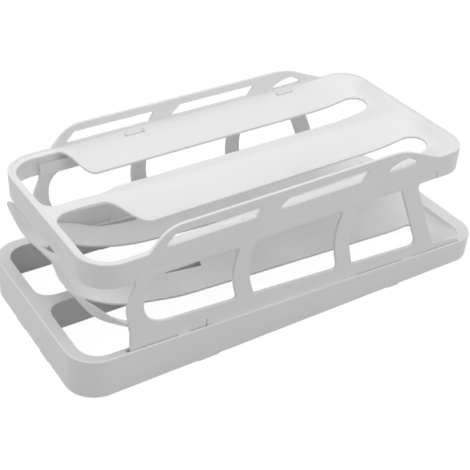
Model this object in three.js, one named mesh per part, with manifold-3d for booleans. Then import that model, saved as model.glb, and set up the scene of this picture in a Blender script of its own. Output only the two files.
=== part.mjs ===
// Rolling egg dispenser: two tiers of W-shaped lanes in white plastic, millimetres, +Z up.
// Eggs roll left on the upper tray, drop through its holes onto the ramp, and roll right on the base.
// x runs along the lanes from the base's left end, y across them from the middle, z up from the ground.
// The finished group is centred, so its origin is at the bottom centre of the dispenser.

import * as THREE from 'three';
import { mergeVertices } from 'three/addons/utils/BufferGeometryUtils.js';
import Module from 'manifold-3d';

// What all the mouldings share
const sheet = 2; // thickness of the lanes and flanges
const wall = 2.4; // thickness of the tray's skirt, the guards and the side panels
const clearance = 0.3; // between mouldings that touch
const overrun = 3; // how far a cut runs past what it cuts
const lap = 1.5; // how far a lane runs under the flange that it joins
const root = 0.8; // how far a small feature is sunk in the wall that carries it
const edgeRadius = 1.1; // rounding of the outer top edge of both trays
const ridgeRound = 5; // rounding of the ridge between the lanes, as the half axis of its hyperbola
const valleyDip = 1.2; // how far the bottom of a lane is hollowed in its bowl

// Base tray
const baseLength = 370;
const baseWidth = 157.1;
const baseCorner = 23.3;
const baseRimLeft = 33.6;
const baseRimRight = 20.3;
const baseWall = 3;
const baseSideFlange = 7.45;
const baseLeftFlange = 9.8;
const baseRightFlange = 11.7;
const baseFlangeDrop = 1.6;
const baseLeftInnerCorner = 16;
const baseRightInnerCorner = 13.5;
const laneStart = 138.5; // where the base's own lanes begin, at the ramp's foot
const laneStartHeight = 16.3; // top of the lane at its slot's edge
const laneFall = 10.1; // how much lower that edge is at the right end of the flange
const laneRidge = 10; // height of the ridge over the slot's edge
const slotInner = 25.55; // from the middle to the slot's nearer edge
const slotOuter = 49.25;
const baseSlotEnd = 345;
const baseBowl = 45; // length of the rise to the right flange
const bridgeHalf = 4.65;
const bridgeEnd = 86;
const bridgeFillet = 14;
const ribWall = 2.4;
const ribTop = 24.8; // in the lane's ridge
const ribDip = 14; // under the ramp's crest slot
const ribGap = 2.8; // from the ground to the rib
const footHeight = 0.8;
const footWall = 2.6;
const ledgeLength = 8; // ledges that the ramp's foot rests on
const ledgeRise = 3; // length over which a ledge rises into the lane
const ledgeRidgeInner = 9;
const ledgeRidgeOuter = 14;
const ledgeWingInner = 54;
const ledgeWingOuter = 66;
const sideFeet = [[94, 111], [272, 283]];
const endFoot = [13.5, 27.5];

// Upper tray, flat in its own frame: x from its left end, z from its rim
const trayInset = 12;
const trayLength = 325.4;
const trayMargin = 2.5; // from the base's side to the upper tray's side
const trayWidth = baseWidth - 2 * trayMargin;
const trayRimLeft = 107.1;
const trayRise = 5.9; // how much higher its right end is
const trayLeftCorner = 25;
const trayRightCorner = 22;
const skirt = 19.7;
const trayFlange = 6;
const trayFlangeDrop = 1.8;
const trayLaneDepth = 14.7; // from the rim to the slot's edge
const trayRidgeDepth = 4;
const trayBridgeDepth = 1;
const trayBridgeHalf = 5.2;
const trayBridgeFillet = 12;
const ridgeFallStart = 25; // where the ridge starts to fall from the bridge to the lanes
const ridgeFallEnd = 105;
const bridgeFlatEnd = 60;
const trayBowl = 57.4;
const traySlotEnd = 311;
const dropSpineStart = 43; // the drop hole narrows to the slot between these places
const dropSpineEnd = 73;
const dropWingStart = 43.5;
const dropWingEnd = 67.5;
const dropPull = 12;

// Egg guards on the tray's long sides
const guardStart = 41.5;
const guardEnd = 291;
const guardHeight = 15.5;
const guardLeftRun = 15;
const guardRightRun = 37;
const guardLeftRound = 24;
const guardRightRound = 60;
const guardSill = 0.8;
const guardHead = 8.9;
const guardWindowRound = 1.6;
// Each window's sill start, head start, head end and sill end, as shares of the guard's length
const guardWindowShares = [[0.046, 0.078, 0.35, 0.331], [0.405, 0.444, 0.727, 0.699]];
// The last window's outline, as shares of the guard's length and height
const guardEndWindowShares = [[0.792, 0.05], [0.817, 0.32], [0.847, 0.46], [0.873, 0.52], [0.923, 0.08]];

// Side panels; the band along their top lies in a recess of the tray's skirt
const recessStart = 31;
const recessEnd = 292;
const recessTop = 12.3;
const recessRound = 7;
const bandEndRound = 2;
const panelStart = 39.7;
const panelEnd = 346;
const panelFoot = 10; // how deep the panel stands in the base
const pocketStart = 37;
const pocketFront = 0.7; // gap between the panel and the wall in front of it
const legBow = 4.1;
const legKneeShare = 0.3;
const legWaistShare = 0.6;
const legNeckDrop = 4; // from the skirt's bottom edge to where the leg turns out
const legNeckRound = 18;
const legWaistRound = 28;
const legKneeRound = 75;
const postShares = [[0.2977, 0.302], [0.5888, 0.599]]; // middle of each post, top and foot
const postTopWidth = 12.4;
const postFootWidth = 15;
const postBow = 6.7;
const postRound = 58;
const postWaistShare = 0.57;
const firstWindowStart = 50;
const firstWindowTopRound = 20;
const firstWindowFootRound = 22;
const windowRound = 3;
const rightLegTop = 286;
const rightLegFoot = 315.6;
const rightLegWidth = 16.3;
const rightLegRound = 5;
const lowBandLeft = 17; // height of the band over the base's rim, at the first window and at the last
const lowBandRight = 10.5;
const stubLeft = 5.7; // the same beyond the right leg
const stubRight = 3.2;
const slitPlace = 100;
const slitWidth = 1;
const slitHeight = 6;
const nibs = [[78, 86], [284, 293]];

// Hooks of the panels and the windows in the tray that they reach into
const clipWindows = [[100.5, 117], [242.5, 258]];
const clipWindowWidth = 3;
const hookSide = 2.2; // room beside a hook in its window
const hookArm = 2.2;
const hookLow = 1; // from the skirt's bottom edge up to the hook
const hookTongue = 2;
const hookTop = 2.6;
const barbHeight = 3;
const barbReach = 1.2;

// Ramp under the drop holes
const rampStart = 11.5;
const rampRise = 39.7; // how much it climbs over the line of the lanes
const rampBendEnd = 120;
const rampRim = 7.5; // height of its edge over the slot's edge
const rampFootRim = 10.7;
const rampRidge = 8.5;
const rampNotch = 5.5;
const rampNotchHalf = 30;
const rampCorner = 16;
const rampBowl = 48;
const rampSlotStart = 26;
const rampSlotInner = 26.5;
const rampSlotOuter = 52.5;
const rampShoulderStart = 68;
const rampShoulderEnd = 84;
const lipReach = 9; // how far in from the ramp's edge its lip starts to rise
const lipMiddle = 2.4; // how much it rises between the lanes' outer sides
const lipCorner = 10.5;
const lipCornerStart = 38; // from the middle to where it starts to rise to the corner
const lipCornerEnd = 64;
const lipEnd = 52; // where it has run out along the sides
const crestStart = 92; // slot along the crest, over the base's rib
const crestHalf = 7.6;
const crestFootHalf = 8.4;
const pegRadius = 1.8;
const pegStart = 127.5;
const pegEnd = 152.5;
const pegSide = 20;
const lugStart = 41;
const lugEnd = 48;
const lugReach = 3.3;
const lugHeight = 2.6;

// Fineness of the curved surfaces
const cornerSteps = 7;
const bowlSteps = 8;
const ridgeSteps = 5;
const slotSteps = 4;
const wingSteps = 3;
const curveSteps = 7;
const roundingSteps = 3; // of a tray's rounded top edge
const trayLeftSteps = 10;
const rampSteps = 18;
const pegSides = 10;
const ridgePower = 1.25; // above 1, rows draw together at the ridge
const rampPower = 1.3; // above 1, the ramp's stations draw together at its left end

const wasm = await Module();
wasm.setup();

// Joining and cutting

function toSolid(geometry) {
  const plain = geometry.clone();
  plain.deleteAttribute('normal');
  plain.deleteAttribute('uv');
  const merged = mergeVertices(plain);
  return new wasm.Manifold(new wasm.Mesh({
    numProp: 3,
    vertProperties: Float32Array.from(merged.attributes.position.array),
    triVerts: Uint32Array.from(merged.index.array),
  }));
}

function toGeometry(solid) {
  const { vertProperties, triVerts } = solid.getMesh();
  const geometry = new THREE.BufferGeometry();
  geometry.setAttribute('position', new THREE.BufferAttribute(vertProperties, 3));
  geometry.setIndex(new THREE.BufferAttribute(triVerts, 1));
  geometry.computeVertexNormals();
  return geometry;
}

const join = (solids) => solids.reduce((whole, solid) => whole.add(solid));
const cut = (solid, cutters) => cutters.reduce((rest, cutter) => rest.subtract(cutter), solid);

// Plain numbers

const mix = (a, b, t) => a + (b - a) * t;
const along = (x, x0, x1) => THREE.MathUtils.clamp((x - x0) / (x1 - x0), 0, 1);
const ease = (x, x0, x1) => THREE.MathUtils.smoothstep(x, x0, x1);

// Bodies

// A box between two corners, given as spans along x, y and z.
function block([x0, x1], [y0, y1], [z0, z1]) {
  const box = new THREE.BoxGeometry(x1 - x0, y1 - y0, z1 - z0);
  return toSolid(box.translate((x0 + x1) / 2, (y0 + y1) / 2, (z0 + z1) / 2));
}

// An outline in the plane of x and y, carried up from z0 to z1.
function prism(shape, z0, z1) {
  const options = { depth: z1 - z0, bevelEnabled: false, curveSegments: curveSteps };
  return toSolid(new THREE.ExtrudeGeometry(shape, options).translate(0, 0, z0));
}

// An outline in the plane of x and z, carried across from y0 to y1.
function plate(shape, y0, y1) {
  const options = { depth: y1 - y0, bevelEnabled: false, curveSegments: curveSteps };
  return toSolid(new THREE.ExtrudeGeometry(shape, options).rotateX(Math.PI / 2).translate(0, y1, 0));
}

// An outline in the plane of y and z, carried along from x0 to x1.
function rail(shape, x0, x1) {
  const options = { depth: x1 - x0, bevelEnabled: false, curveSegments: curveSteps };
  const turn = new THREE.Matrix4().makeBasis(
    new THREE.Vector3(0, 1, 0),
    new THREE.Vector3(0, 0, 1),
    new THREE.Vector3(1, 0, 0),
  );
  return toSolid(new THREE.ExtrudeGeometry(shape, options).applyMatrix4(turn).translate(x0, 0, 0));
}

// A span on one side of the middle, from the near to the far distance: side is 1 behind, -1 in front.
const span = (side, inner, outer) => (side > 0 ? [inner, outer] : [-outer, -inner]);

// A closed outline with rounded corners, each [x, y, radius]. Fillets on a short side share it.
// It always runs anticlockwise, so that an outline with holes is turned right way round.
function outline(given) {
  const signed = THREE.ShapeUtils.area(given.map(([x, y]) => ({ x, y })));
  const corners = signed < 0 ? given.toReversed() : given;
  const points = corners.map(([x, y]) => new THREE.Vector2(x, y));
  const count = points.length;
  const next = (i) => (i + 1) % count;
  const before = (i) => (i + count - 1) % count;
  const reach = corners.map(([, , radius], i) => {
    const back = points[before(i)].clone().sub(points[i]);
    const ahead = points[next(i)].clone().sub(points[i]);
    return radius / Math.tan(back.angleTo(ahead) / 2);
  });
  const room = points.map((point, i) => (
    Math.min(1, point.distanceTo(points[next(i)]) / (reach[i] + reach[next(i)]))
  ));
  const shape = new THREE.Shape();
  points.forEach((point, i) => {
    const length = reach[i] * Math.min(room[i], room[before(i)]);
    const toward = (other) => (
      point.clone().add(other.clone().sub(point).setLength(length))
    );
    const start = toward(points[before(i)]);
    const end = toward(points[next(i)]);
    if (i === 0) shape.moveTo(start.x, start.y);
    else shape.lineTo(start.x, start.y);
    if (length > 0) shape.quadraticCurveTo(point.x, point.y, end.x, end.y);
  });
  shape.closePath();
  return shape;
}

// The points of a rounded rectangle, anticlockwise, with its own radius at each end.
function frameOutline({ x0, x1, half, left, right }) {
  const corners = [
    [x1 - right, half - right, right],
    [x0 + left, half - left, left],
    [x0 + left, left - half, left],
    [x1 - right, right - half, right],
  ];
  return corners.flatMap(([x, y, radius], corner) => (
    Array.from({ length: cornerSteps + 1 }, (_, step) => {
      const angle = (corner + step / cornerSteps) * Math.PI / 2;
      return [x + radius * Math.cos(angle), y + radius * Math.sin(angle)];
    })
  ));
}

const insetFrame = (frame, inset) => ({
  x0: frame.x0 + inset,
  x1: frame.x1 - inset,
  half: frame.half - inset,
  left: frame.left - inset,
  right: frame.right - inset,
});

// A frame lofted around the tray: each row of its section is [frame, height as a function of x].
function ringLoft(rows) {
  const rings = rows.map(([frame, height]) => frameOutline(frame).map(([x, y]) => [x, y, height(x)]));
  const count = rings[0].length;
  const index = [];
  rings.forEach((_, row) => {
    const nextRow = (row + 1) % rings.length;
    for (let i = 0; i < count; i += 1) {
      const j = (i + 1) % count;
      const [a, b] = [row * count + i, row * count + j];
      const [c, d] = [nextRow * count + j, nextRow * count + i];
      index.push(a, b, c, a, c, d);
    }
  });
  return gridGeometry(rings.flat(2), index);
}

function gridGeometry(numbers, index) {
  const geometry = new THREE.BufferGeometry();
  geometry.setAttribute('position', new THREE.Float32BufferAttribute(numbers, 3));
  geometry.setIndex(index);
  return toSolid(geometry);
}

// A sheet over a grid of stations along x and rows along y: point(i, j) gives its top.
function gridSheet(stations, rows, point) {
  const tops = [];
  for (let i = 0; i < stations; i += 1) {
    for (let j = 0; j < rows; j += 1) tops.push(point(i, j));
  }
  const numbers = [...tops, ...tops.map(([x, y, z]) => [x, y, z - sheet])].flat();
  const under = tops.length;
  const at = (i, j) => i * rows + j;
  const index = [];
  const quad = (a, b, c, d) => index.push(a, b, c, a, c, d);
  for (let i = 0; i + 1 < stations; i += 1) {
    for (let j = 0; j + 1 < rows; j += 1) {
      const [a, b, c, d] = [at(i, j), at(i + 1, j), at(i + 1, j + 1), at(i, j + 1)];
      quad(a, b, c, d);
      quad(under + a, under + d, under + c, under + b);
    }
    quad(at(i, 0), under + at(i, 0), under + at(i + 1, 0), at(i + 1, 0));
    const last = rows - 1;
    quad(at(i + 1, last), under + at(i + 1, last), under + at(i, last), at(i, last));
  }
  for (let j = 0; j + 1 < rows; j += 1) {
    const last = stations - 1;
    quad(at(0, j + 1), under + at(0, j + 1), under + at(0, j), at(0, j));
    quad(at(last, j), under + at(last, j), under + at(last, j + 1), at(last, j + 1));
  }
  return gridGeometry(numbers, index);
}

// Rows across a W-shaped lane, from one edge to the other. inner, outer and edge are the slot's
// edges and the lane's own edge, and each row is found again at any x where they differ.
function laneRows() {
  const half = [];
  for (let k = 0; k < ridgeSteps; k += 1) half.push({ zone: 'ridge', t: (k / ridgeSteps) ** ridgePower });
  for (let k = 0; k < slotSteps; k += 1) half.push({ zone: 'slot', t: k / slotSteps });
  for (let k = 0; k <= wingSteps; k += 1) half.push({ zone: 'wing', t: k / wingSteps });
  const mirrored = half.slice(1).reverse().map((row) => ({ ...row, side: -1 }));
  return [...mirrored, ...half.map((row) => ({ ...row, side: 1 }))];
}

function rowPlace({ zone, t, side }, inner, outer, edge) {
  const reach = { ridge: [0, inner], slot: [inner, outer], wing: [outer, edge] }[zone];
  return side * mix(...reach, t);
}

// Height of the W over the slot's edges: a hyperbola over the ridge, a hollow and a straight wing.
function laneProfile(y, { inner, outer, edge, ridge, rim }) {
  const off = Math.abs(y);
  if (off <= inner) {
    const fall = (Math.hypot(off, ridgeRound) - ridgeRound) / (Math.hypot(inner, ridgeRound) - ridgeRound);
    return ridge * (1 - fall);
  }
  if (off < outer) return -valleyDip * Math.sin(Math.PI * along(off, inner, outer));
  return rim * (off - outer) / (edge - outer);
}

// Where a lane ends at right, along a flange whose inner corners are rounded.
function roundedEnd(y, end, half, radius) {
  const into = Math.min(Math.abs(y), half) - (half - radius);
  if (into <= 0) return end;
  return end - radius + Math.sqrt(Math.max(0, radius ** 2 - into ** 2));
}

// Stations of a bowl: how far each is from the lane's end and how far it has risen, from 0 to 1.
// The rise is a quarter of an ellipse, cut at even angles.
const bowlStations = (length) => Array.from({ length: bowlSteps + 1 }, (_, k) => {
  const angle = k / bowlSteps * Math.PI / 2;
  return { left: length * (1 - Math.sin(angle)), rise: 1 - Math.cos(angle) };
});

// Rows of a lane with one more on each side that runs under the flange.
const lappedRows = () => {
  const rows = laneRows();
  const extra = (row) => ({ ...row, beyond: lap });
  return [extra(rows[0]), ...rows, extra(rows.at(-1))];
};

// A lane's opening, seen from above: a slot with a round right end, and what is left of it.
function slotShape(side, end, inner, outer, begin) {
  const shape = new THREE.Shape();
  const radius = (outer - inner) / 2;
  begin(shape);
  shape.lineTo(end - radius, side * inner);
  const quarter = side * Math.PI / 2;
  shape.absarc(end - radius, side * (inner + outer) / 2, radius, -quarter, quarter, side < 0);
  return shape;
}

// Base tray

const baseHalf = baseWidth / 2;
const baseRim = (x) => mix(baseRimLeft, baseRimRight, x / baseLength);
const baseFlangeLevel = (x) => baseRim(x) - baseFlangeDrop;
const baseInnerHalf = baseHalf - baseSideFlange;
const baseInnerEnd = baseLength - baseRightFlange;
const laneHeight = (x) => laneStartHeight - laneFall * (x - laneStart) / (baseInnerEnd - laneStart);
const baseOuterFrame = { x0: 0, x1: baseLength, half: baseHalf, left: baseCorner, right: baseCorner };
const baseFlangeFrame = {
  x0: baseLeftFlange,
  x1: baseInnerEnd,
  half: baseInnerHalf,
  left: baseLeftInnerCorner,
  right: baseRightInnerCorner,
};

// A wall and its flange around a tray: rim gives the top's height, foot the bottom's.
function trayRing(outer, inner, thickness, rim, foot, drop) {
  const under = insetFrame(outer, thickness);
  const rounding = Array.from({ length: roundingSteps + 1 }, (_, k) => {
    const angle = k / roundingSteps * Math.PI / 2;
    const inset = edgeRadius * (1 - Math.cos(angle));
    return [insetFrame(outer, inset), (x) => rim(x) - edgeRadius * (1 - Math.sin(angle))];
  });
  return ringLoft([
    [outer, foot],
    ...rounding,
    [inner, (x) => rim(x) - drop],
    [inner, (x) => rim(x) - drop - sheet],
    [under, (x) => rim(x) - sheet],
    [under, foot],
  ]);
}

const baseLaneAt = (x) => ({
  inner: slotInner,
  outer: slotOuter,
  edge: baseInnerHalf,
  ridge: laneRidge,
  rim: baseFlangeLevel(x) - laneHeight(x),
});

function baseLanes() {
  const rows = lappedRows();
  const bowl = bowlStations(baseBowl);
  const stations = [{ start: true }, ...bowl, { past: lap }];
  return gridSheet(stations.length, rows.length, (i, j) => {
    const station = stations[i];
    const row = rows[j];
    const inside = rowPlace(row, slotInner, slotOuter, baseInnerHalf);
    const end = roundedEnd(inside, baseInnerEnd, baseInnerHalf, baseRightInnerCorner);
    const x = station.start ? laneStart : end - (station.left ?? 0) + (station.past ?? 0);
    const flat = laneHeight(x) + laneProfile(inside, baseLaneAt(x));
    const rise = station.start ? 0 : station.rise ?? 1;
    const y = inside + row.side * (row.beyond ?? 0);
    return [x, y, mix(flat, baseFlangeLevel(x), rise)];
  });
}

function baseSlot(side) {
  const shape = slotShape(side, baseSlotEnd, slotInner, slotOuter, (path) => {
    path.moveTo(laneStart - overrun, side * slotOuter);
    path.lineTo(laneStart - overrun, side * slotInner);
  });
  shape.closePath();
  return prism(shape, 0, baseRimLeft);
}

// The bridge between the two left openings, which spreads into the flange in two fillets.
function baseBridge() {
  const from = baseLeftFlange - lap;
  const shape = new THREE.Shape();
  const spread = bridgeHalf + bridgeFillet;
  shape.moveTo(from, spread);
  shape.lineTo(from, -spread);
  shape.lineTo(baseLeftFlange, -spread);
  shape.quadraticCurveTo(baseLeftFlange, -bridgeHalf, baseLeftFlange + bridgeFillet, -bridgeHalf);
  shape.lineTo(bridgeEnd, -bridgeHalf);
  shape.lineTo(bridgeEnd, bridgeHalf);
  shape.lineTo(baseLeftFlange + bridgeFillet, bridgeHalf);
  shape.quadraticCurveTo(baseLeftFlange, bridgeHalf, baseLeftFlange, spread);
  const profile = new THREE.Shape([
    new THREE.Vector2(from, baseFlangeLevel(from)),
    new THREE.Vector2(bridgeEnd, baseFlangeLevel(bridgeEnd)),
    new THREE.Vector2(bridgeEnd, baseFlangeLevel(bridgeEnd) - sheet),
    new THREE.Vector2(from, baseFlangeLevel(from) - sheet),
  ]);
  return prism(shape, 0, baseRimLeft).intersect(plate(profile, -spread, spread));
}

function baseRib() {
  const end = laneStart + ledgeLength;
  const under = (x) => baseFlangeLevel(x) - sheet / 2;
  const profile = new THREE.Shape([
    new THREE.Vector2(baseWall / 2, ribGap),
    new THREE.Vector2(end, ribGap),
    new THREE.Vector2(end, ribTop),
    new THREE.Vector2(laneStart, ribTop),
    new THREE.Vector2(laneStart, ribDip),
    new THREE.Vector2(bridgeEnd, ribDip),
    new THREE.Vector2(bridgeEnd - ribWall, under(bridgeEnd)),
    new THREE.Vector2(baseWall / 2, under(0)),
  ]);
  return plate(profile, -ribWall / 2, ribWall / 2);
}

// Ledges one sheet lower than the lanes, which the ramp's foot rests on. They rise into the lanes.
function baseLedges() {
  const rows = laneRows();
  const low = sheet + clearance;
  const stations = [
    [laneStart - ledgeLength, low],
    [laneStart, low],
    [laneStart + ledgeRise, sheet / 2],
  ];
  const lower = gridSheet(stations.length, rows.length, (i, j) => {
    const [x, depth] = stations[i];
    const y = rowPlace(rows[j], slotInner, slotOuter, baseInnerHalf);
    return [x, y, laneHeight(x) + laneProfile(y, baseLaneAt(x)) - depth];
  });
  const keep = [-1, 1].flatMap((side) => [
    span(side, ledgeRidgeInner, ledgeRidgeOuter),
    span(side, ledgeWingInner, ledgeWingOuter),
  ]);
  const whole = [laneStart - ledgeLength - overrun, laneStart + ledgeRise + overrun];
  return keep.map((across) => lower.intersect(block(whole, across, [0, baseRimLeft])));
}

const panelOuter = trayWidth / 2;
const panelInner = panelOuter - wall;
const pocketEnd = panelEnd + clearance;

// The pocket that a panel's foot stands in: a trough hung from the flange.
function pocketShape(start, end, depth, above) {
  return new THREE.Shape([
    new THREE.Vector2(start, baseRim(start) - depth),
    new THREE.Vector2(end, baseRim(end) - depth),
    new THREE.Vector2(end, baseRim(end) + above),
    new THREE.Vector2(start, baseRim(start) + above),
  ]);
}

function pocketBody(side) {
  const depth = panelFoot + clearance + sheet;
  const shape = pocketShape(pocketStart - sheet, pocketEnd + sheet, depth, -baseFlangeDrop);
  return plate(shape, ...span(side, baseInnerHalf, baseHalf - baseWall / 2));
}

function pocketHollow(side) {
  const shape = pocketShape(pocketStart, pocketEnd, panelFoot + clearance, overrun);
  return plate(shape, ...span(side, panelInner - clearance, panelOuter + pocketFront));
}

// Nibs on the pocket's front wall, which press the panel's foot home.
function pocketNibs(side) {
  return nibs.map(([start, end]) => {
    const shape = pocketShape(start, end, panelFoot, -baseFlangeDrop);
    return plate(shape, ...span(side, panelOuter + clearance, panelOuter + pocketFront + root));
  });
}

function baseFeet() {
  const tall = [0, footHeight + footWall];
  const sides = [-1, 1].flatMap((side) => sideFeet.map((place) => (
    block(place, span(side, baseHalf - footWall, baseHalf), tall)
  )));
  const ends = [-1, 1].flatMap((side) => [[0, footWall], [baseLength - footWall, baseLength]].map(
    (place) => block(place, span(side, ...endFoot), tall),
  ));
  return [...sides, ...ends];
}

function baseTray() {
  const ring = trayRing(
    baseOuterFrame, baseFlangeFrame, baseWall, baseRim, () => footHeight, baseFlangeDrop,
  );
  const lanes = cut(baseLanes(), [-1, 1].map(baseSlot));
  const frame = join([ring, ...[-1, 1].map(pocketBody)]);
  const pockets = cut(frame, [-1, 1].map(pocketHollow));
  return join([
    pockets,
    lanes,
    ...[-1, 1].flatMap(pocketNibs),
    baseBridge(),
    baseRib(),
    ...baseLedges(),
    ...baseFeet(),
  ]);
}

// Upper tray

const trayHalf = trayWidth / 2;
const trayInnerHalf = trayHalf - trayFlange;
const trayInnerEnd = trayLength - trayFlange;
const trayTilt = Math.asin(trayRise / trayLength);
const trayOuterFrame = {
  x0: 0, x1: trayLength, half: trayHalf, left: trayLeftCorner, right: trayRightCorner,
};

// From the tray's own frame to the dispenser's.
const trayMatrix = new THREE.Matrix4()
  .makeRotationY(-trayTilt)
  .setPosition(trayInset, 0, trayRimLeft);

function fromTray(x, z) {
  const point = new THREE.Vector3(x, 0, z).applyMatrix4(trayMatrix);
  return [point.x, point.z];
}

// Height of the tray's top: the W, flattened to the bridge's level at left.
function trayTop(x, y) {
  const depth = mix(trayBridgeDepth, trayRidgeDepth, ease(x, ridgeFallStart, ridgeFallEnd));
  const profile = laneProfile(y, {
    inner: slotInner,
    outer: slotOuter,
    edge: trayInnerHalf,
    ridge: trayLaneDepth - depth,
    rim: trayLaneDepth - trayFlangeDrop,
  });
  const flat = mix(-trayFlangeDrop, -trayBridgeDepth, ease(x, 0, ridgeFallStart));
  return mix(flat, profile - trayLaneDepth, ease(x, ridgeFallStart, bridgeFlatEnd));
}

function trayLanes() {
  const rows = lappedRows();
  const left = Array.from({ length: trayLeftSteps + 1 }, (_, k) => (
    { x: mix(trayFlange - lap, ridgeFallEnd, k / trayLeftSteps) }
  ));
  const stations = [...left, ...bowlStations(trayBowl), { past: lap }];
  return gridSheet(stations.length, rows.length, (i, j) => {
    const station = stations[i];
    const row = rows[j];
    const inside = rowPlace(row, slotInner, slotOuter, trayInnerHalf);
    const end = roundedEnd(inside, trayInnerEnd, trayInnerHalf, trayRightCorner - trayFlange);
    const x = station.x ?? end - (station.left ?? 0) + (station.past ?? 0);
    const rise = station.x === undefined ? station.rise ?? 1 : 0;
    const y = inside + row.side * (row.beyond ?? 0);
    return [x, y, mix(trayTop(x, inside), -trayFlangeDrop, rise)];
  });
}

// A drop hole with the slot that it narrows to. It is cut in the lanes before the flange is joined.
function dropHole(side) {
  const left = trayFlange - lap - overrun;
  const outside = trayInnerHalf + lap + overrun;
  const filletTop = trayBridgeHalf + trayBridgeFillet;
  const shape = slotShape(side, traySlotEnd, slotInner, slotOuter, (path) => {
    path.moveTo(left, side * outside);
    path.lineTo(left, side * filletTop);
    path.lineTo(trayFlange, side * filletTop);
    path.quadraticCurveTo(
      trayFlange, side * trayBridgeHalf, trayFlange + trayBridgeFillet, side * trayBridgeHalf,
    );
    path.lineTo(dropSpineStart, side * trayBridgeHalf);
    path.bezierCurveTo(
      dropSpineStart + dropPull, side * trayBridgeHalf,
      dropSpineEnd - dropPull, side * slotInner,
      dropSpineEnd, side * slotInner,
    );
  });
  shape.lineTo(dropWingEnd, side * slotOuter);
  shape.bezierCurveTo(
    dropWingEnd - dropPull, side * slotOuter,
    dropWingStart + dropPull, side * trayInnerHalf,
    dropWingStart, side * trayInnerHalf,
  );
  shape.lineTo(dropWingStart, side * outside);
  shape.closePath();
  return prism(shape, -skirt, guardHeight);
}

// The recess for a panel's band, grown by a margin all round.
function recessShape(margin) {
  const low = -skirt - (margin > clearance ? 0 : overrun);
  const top = margin - recessTop;
  return outline([
    [recessStart - margin, low, 0],
    [recessStart - margin, top, recessRound + margin],
    [recessEnd + margin, top, bandEndRound + margin],
    [recessEnd + margin, low, 0],
  ]);
}

function recessBacking(side) {
  const inner = panelInner - clearance - wall;
  return plate(recessShape(clearance + wall), ...span(side, inner, trayHalf - root));
}

function recessHollow(side) {
  return plate(recessShape(clearance), ...span(side, panelInner - clearance, trayHalf + overrun));
}

function guard(side) {
  const foot = -edgeRadius - root;
  const shape = outline([
    [guardStart, foot, 0],
    [guardStart, 0, 0],
    [guardStart + guardLeftRun, guardHeight, guardLeftRound],
    [guardEnd - guardRightRun, guardHeight, guardRightRound],
    [guardEnd, 0, 0],
    [guardEnd, foot, 0],
  ]);
  const length = guardEnd - guardStart;
  const place = (share) => guardStart + share * length;
  const windows = guardWindowShares.map(([sillStart, headStart, headEnd, sillEnd]) => [
    [place(sillStart), guardSill, guardWindowRound],
    [place(headStart), guardHead, guardWindowRound],
    [place(headEnd), guardHead, guardWindowRound],
    [place(sillEnd), guardSill, guardWindowRound],
  ]);
  const last = guardEndWindowShares.map(([x, z]) => [place(x), z * guardHeight, guardWindowRound]);
  shape.holes = [...windows, last].map(outline);
  return plate(shape, ...span(side, trayHalf - wall, trayHalf));
}

// Windows over the panels' hooks, through the flange beside the skirt, and notches under them.
function clipCuts(side) {
  const inner = panelInner - clearance - wall;
  return clipWindows.flatMap(([start, end]) => [
    block([start, end], span(side, inner - clipWindowWidth, inner), [clearance - recessTop + wall, 0]),
    block(
      [start + hookSide - clearance, end - hookSide + clearance],
      span(side, inner - overrun, panelInner),
      [-skirt - overrun, hookLow + hookArm + clearance - skirt],
    ),
  ]);
}

function upperTray() {
  const rim = () => 0;
  const foot = () => -skirt;
  const inner = insetFrame(trayOuterFrame, trayFlange);
  const ring = trayRing(trayOuterFrame, inner, wall, rim, foot, trayFlangeDrop);
  const lanes = cut(trayLanes(), [-1, 1].map(dropHole));
  const body = join([ring, ...[-1, 1].map(recessBacking)]);
  const recessed = cut(body, [-1, 1].map(recessHollow));
  const whole = join([recessed, lanes, ...[-1, 1].map(guard)]);
  return cut(whole, [-1, 1].flatMap(clipCuts));
}

// Side panels

const bandHeight = skirt - recessTop;
const trayLine = (x, z) => {
  const [x0, z0] = fromTray(0, z);
  return z0 + (x - x0) * Math.tan(trayTilt);
};
const panelTop = (x) => trayLine(x, -recessTop);
const bandFoot = (x) => trayLine(x, -skirt);
const panelHeight = (x, share) => mix(baseRim(x), panelTop(x), share);
const panelPlace = (share) => mix(panelStart, panelEnd, share);
const lowBandTop = (x) => (
  baseRim(x) + mix(lowBandLeft, lowBandRight, (x - firstWindowStart) / (rightLegTop - firstWindowStart))
);

// One side of a post or leg: its top, its waist and its foot, each moved by half the post's width.
function postEdge([topShare, footShare], side) {
  const top = panelPlace(topShare) + side * postTopWidth / 2;
  const foot = panelPlace(footShare) + side * postFootWidth / 2;
  const waist = (top + foot) / 2 - postBow;
  return [
    [top, bandFoot(top), windowRound],
    [waist, panelHeight(waist, postWaistShare), postRound],
    [foot, lowBandTop(foot), windowRound],
  ];
}

// The slanting right leg: the place of its left or right edge at a height.
function rightLegEdge(z, left) {
  const t = (bandFoot(rightLegTop) - z) / (bandFoot(rightLegTop) - baseRim(rightLegFoot) - stubLeft);
  return mix(rightLegTop, rightLegFoot, t) - (left ? rightLegWidth : 0);
}

function panelWindows() {
  const [first, second] = postShares;
  const start = firstWindowStart;
  const legTop = rightLegEdge(bandFoot(rightLegTop), true);
  const legFoot = rightLegEdge(lowBandTop(rightLegTop), true);
  return [
    [
      [start, lowBandTop(start), firstWindowFootRound],
      [start, bandFoot(start), firstWindowTopRound],
      ...postEdge(first, -1),
    ],
    [...postEdge(first, 1).reverse(), ...postEdge(second, -1)],
    [
      ...postEdge(second, 1).reverse(),
      [legTop, bandFoot(legTop), windowRound],
      [legFoot, lowBandTop(legFoot), rightLegRound],
    ],
  ].map(outline);
}

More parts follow.
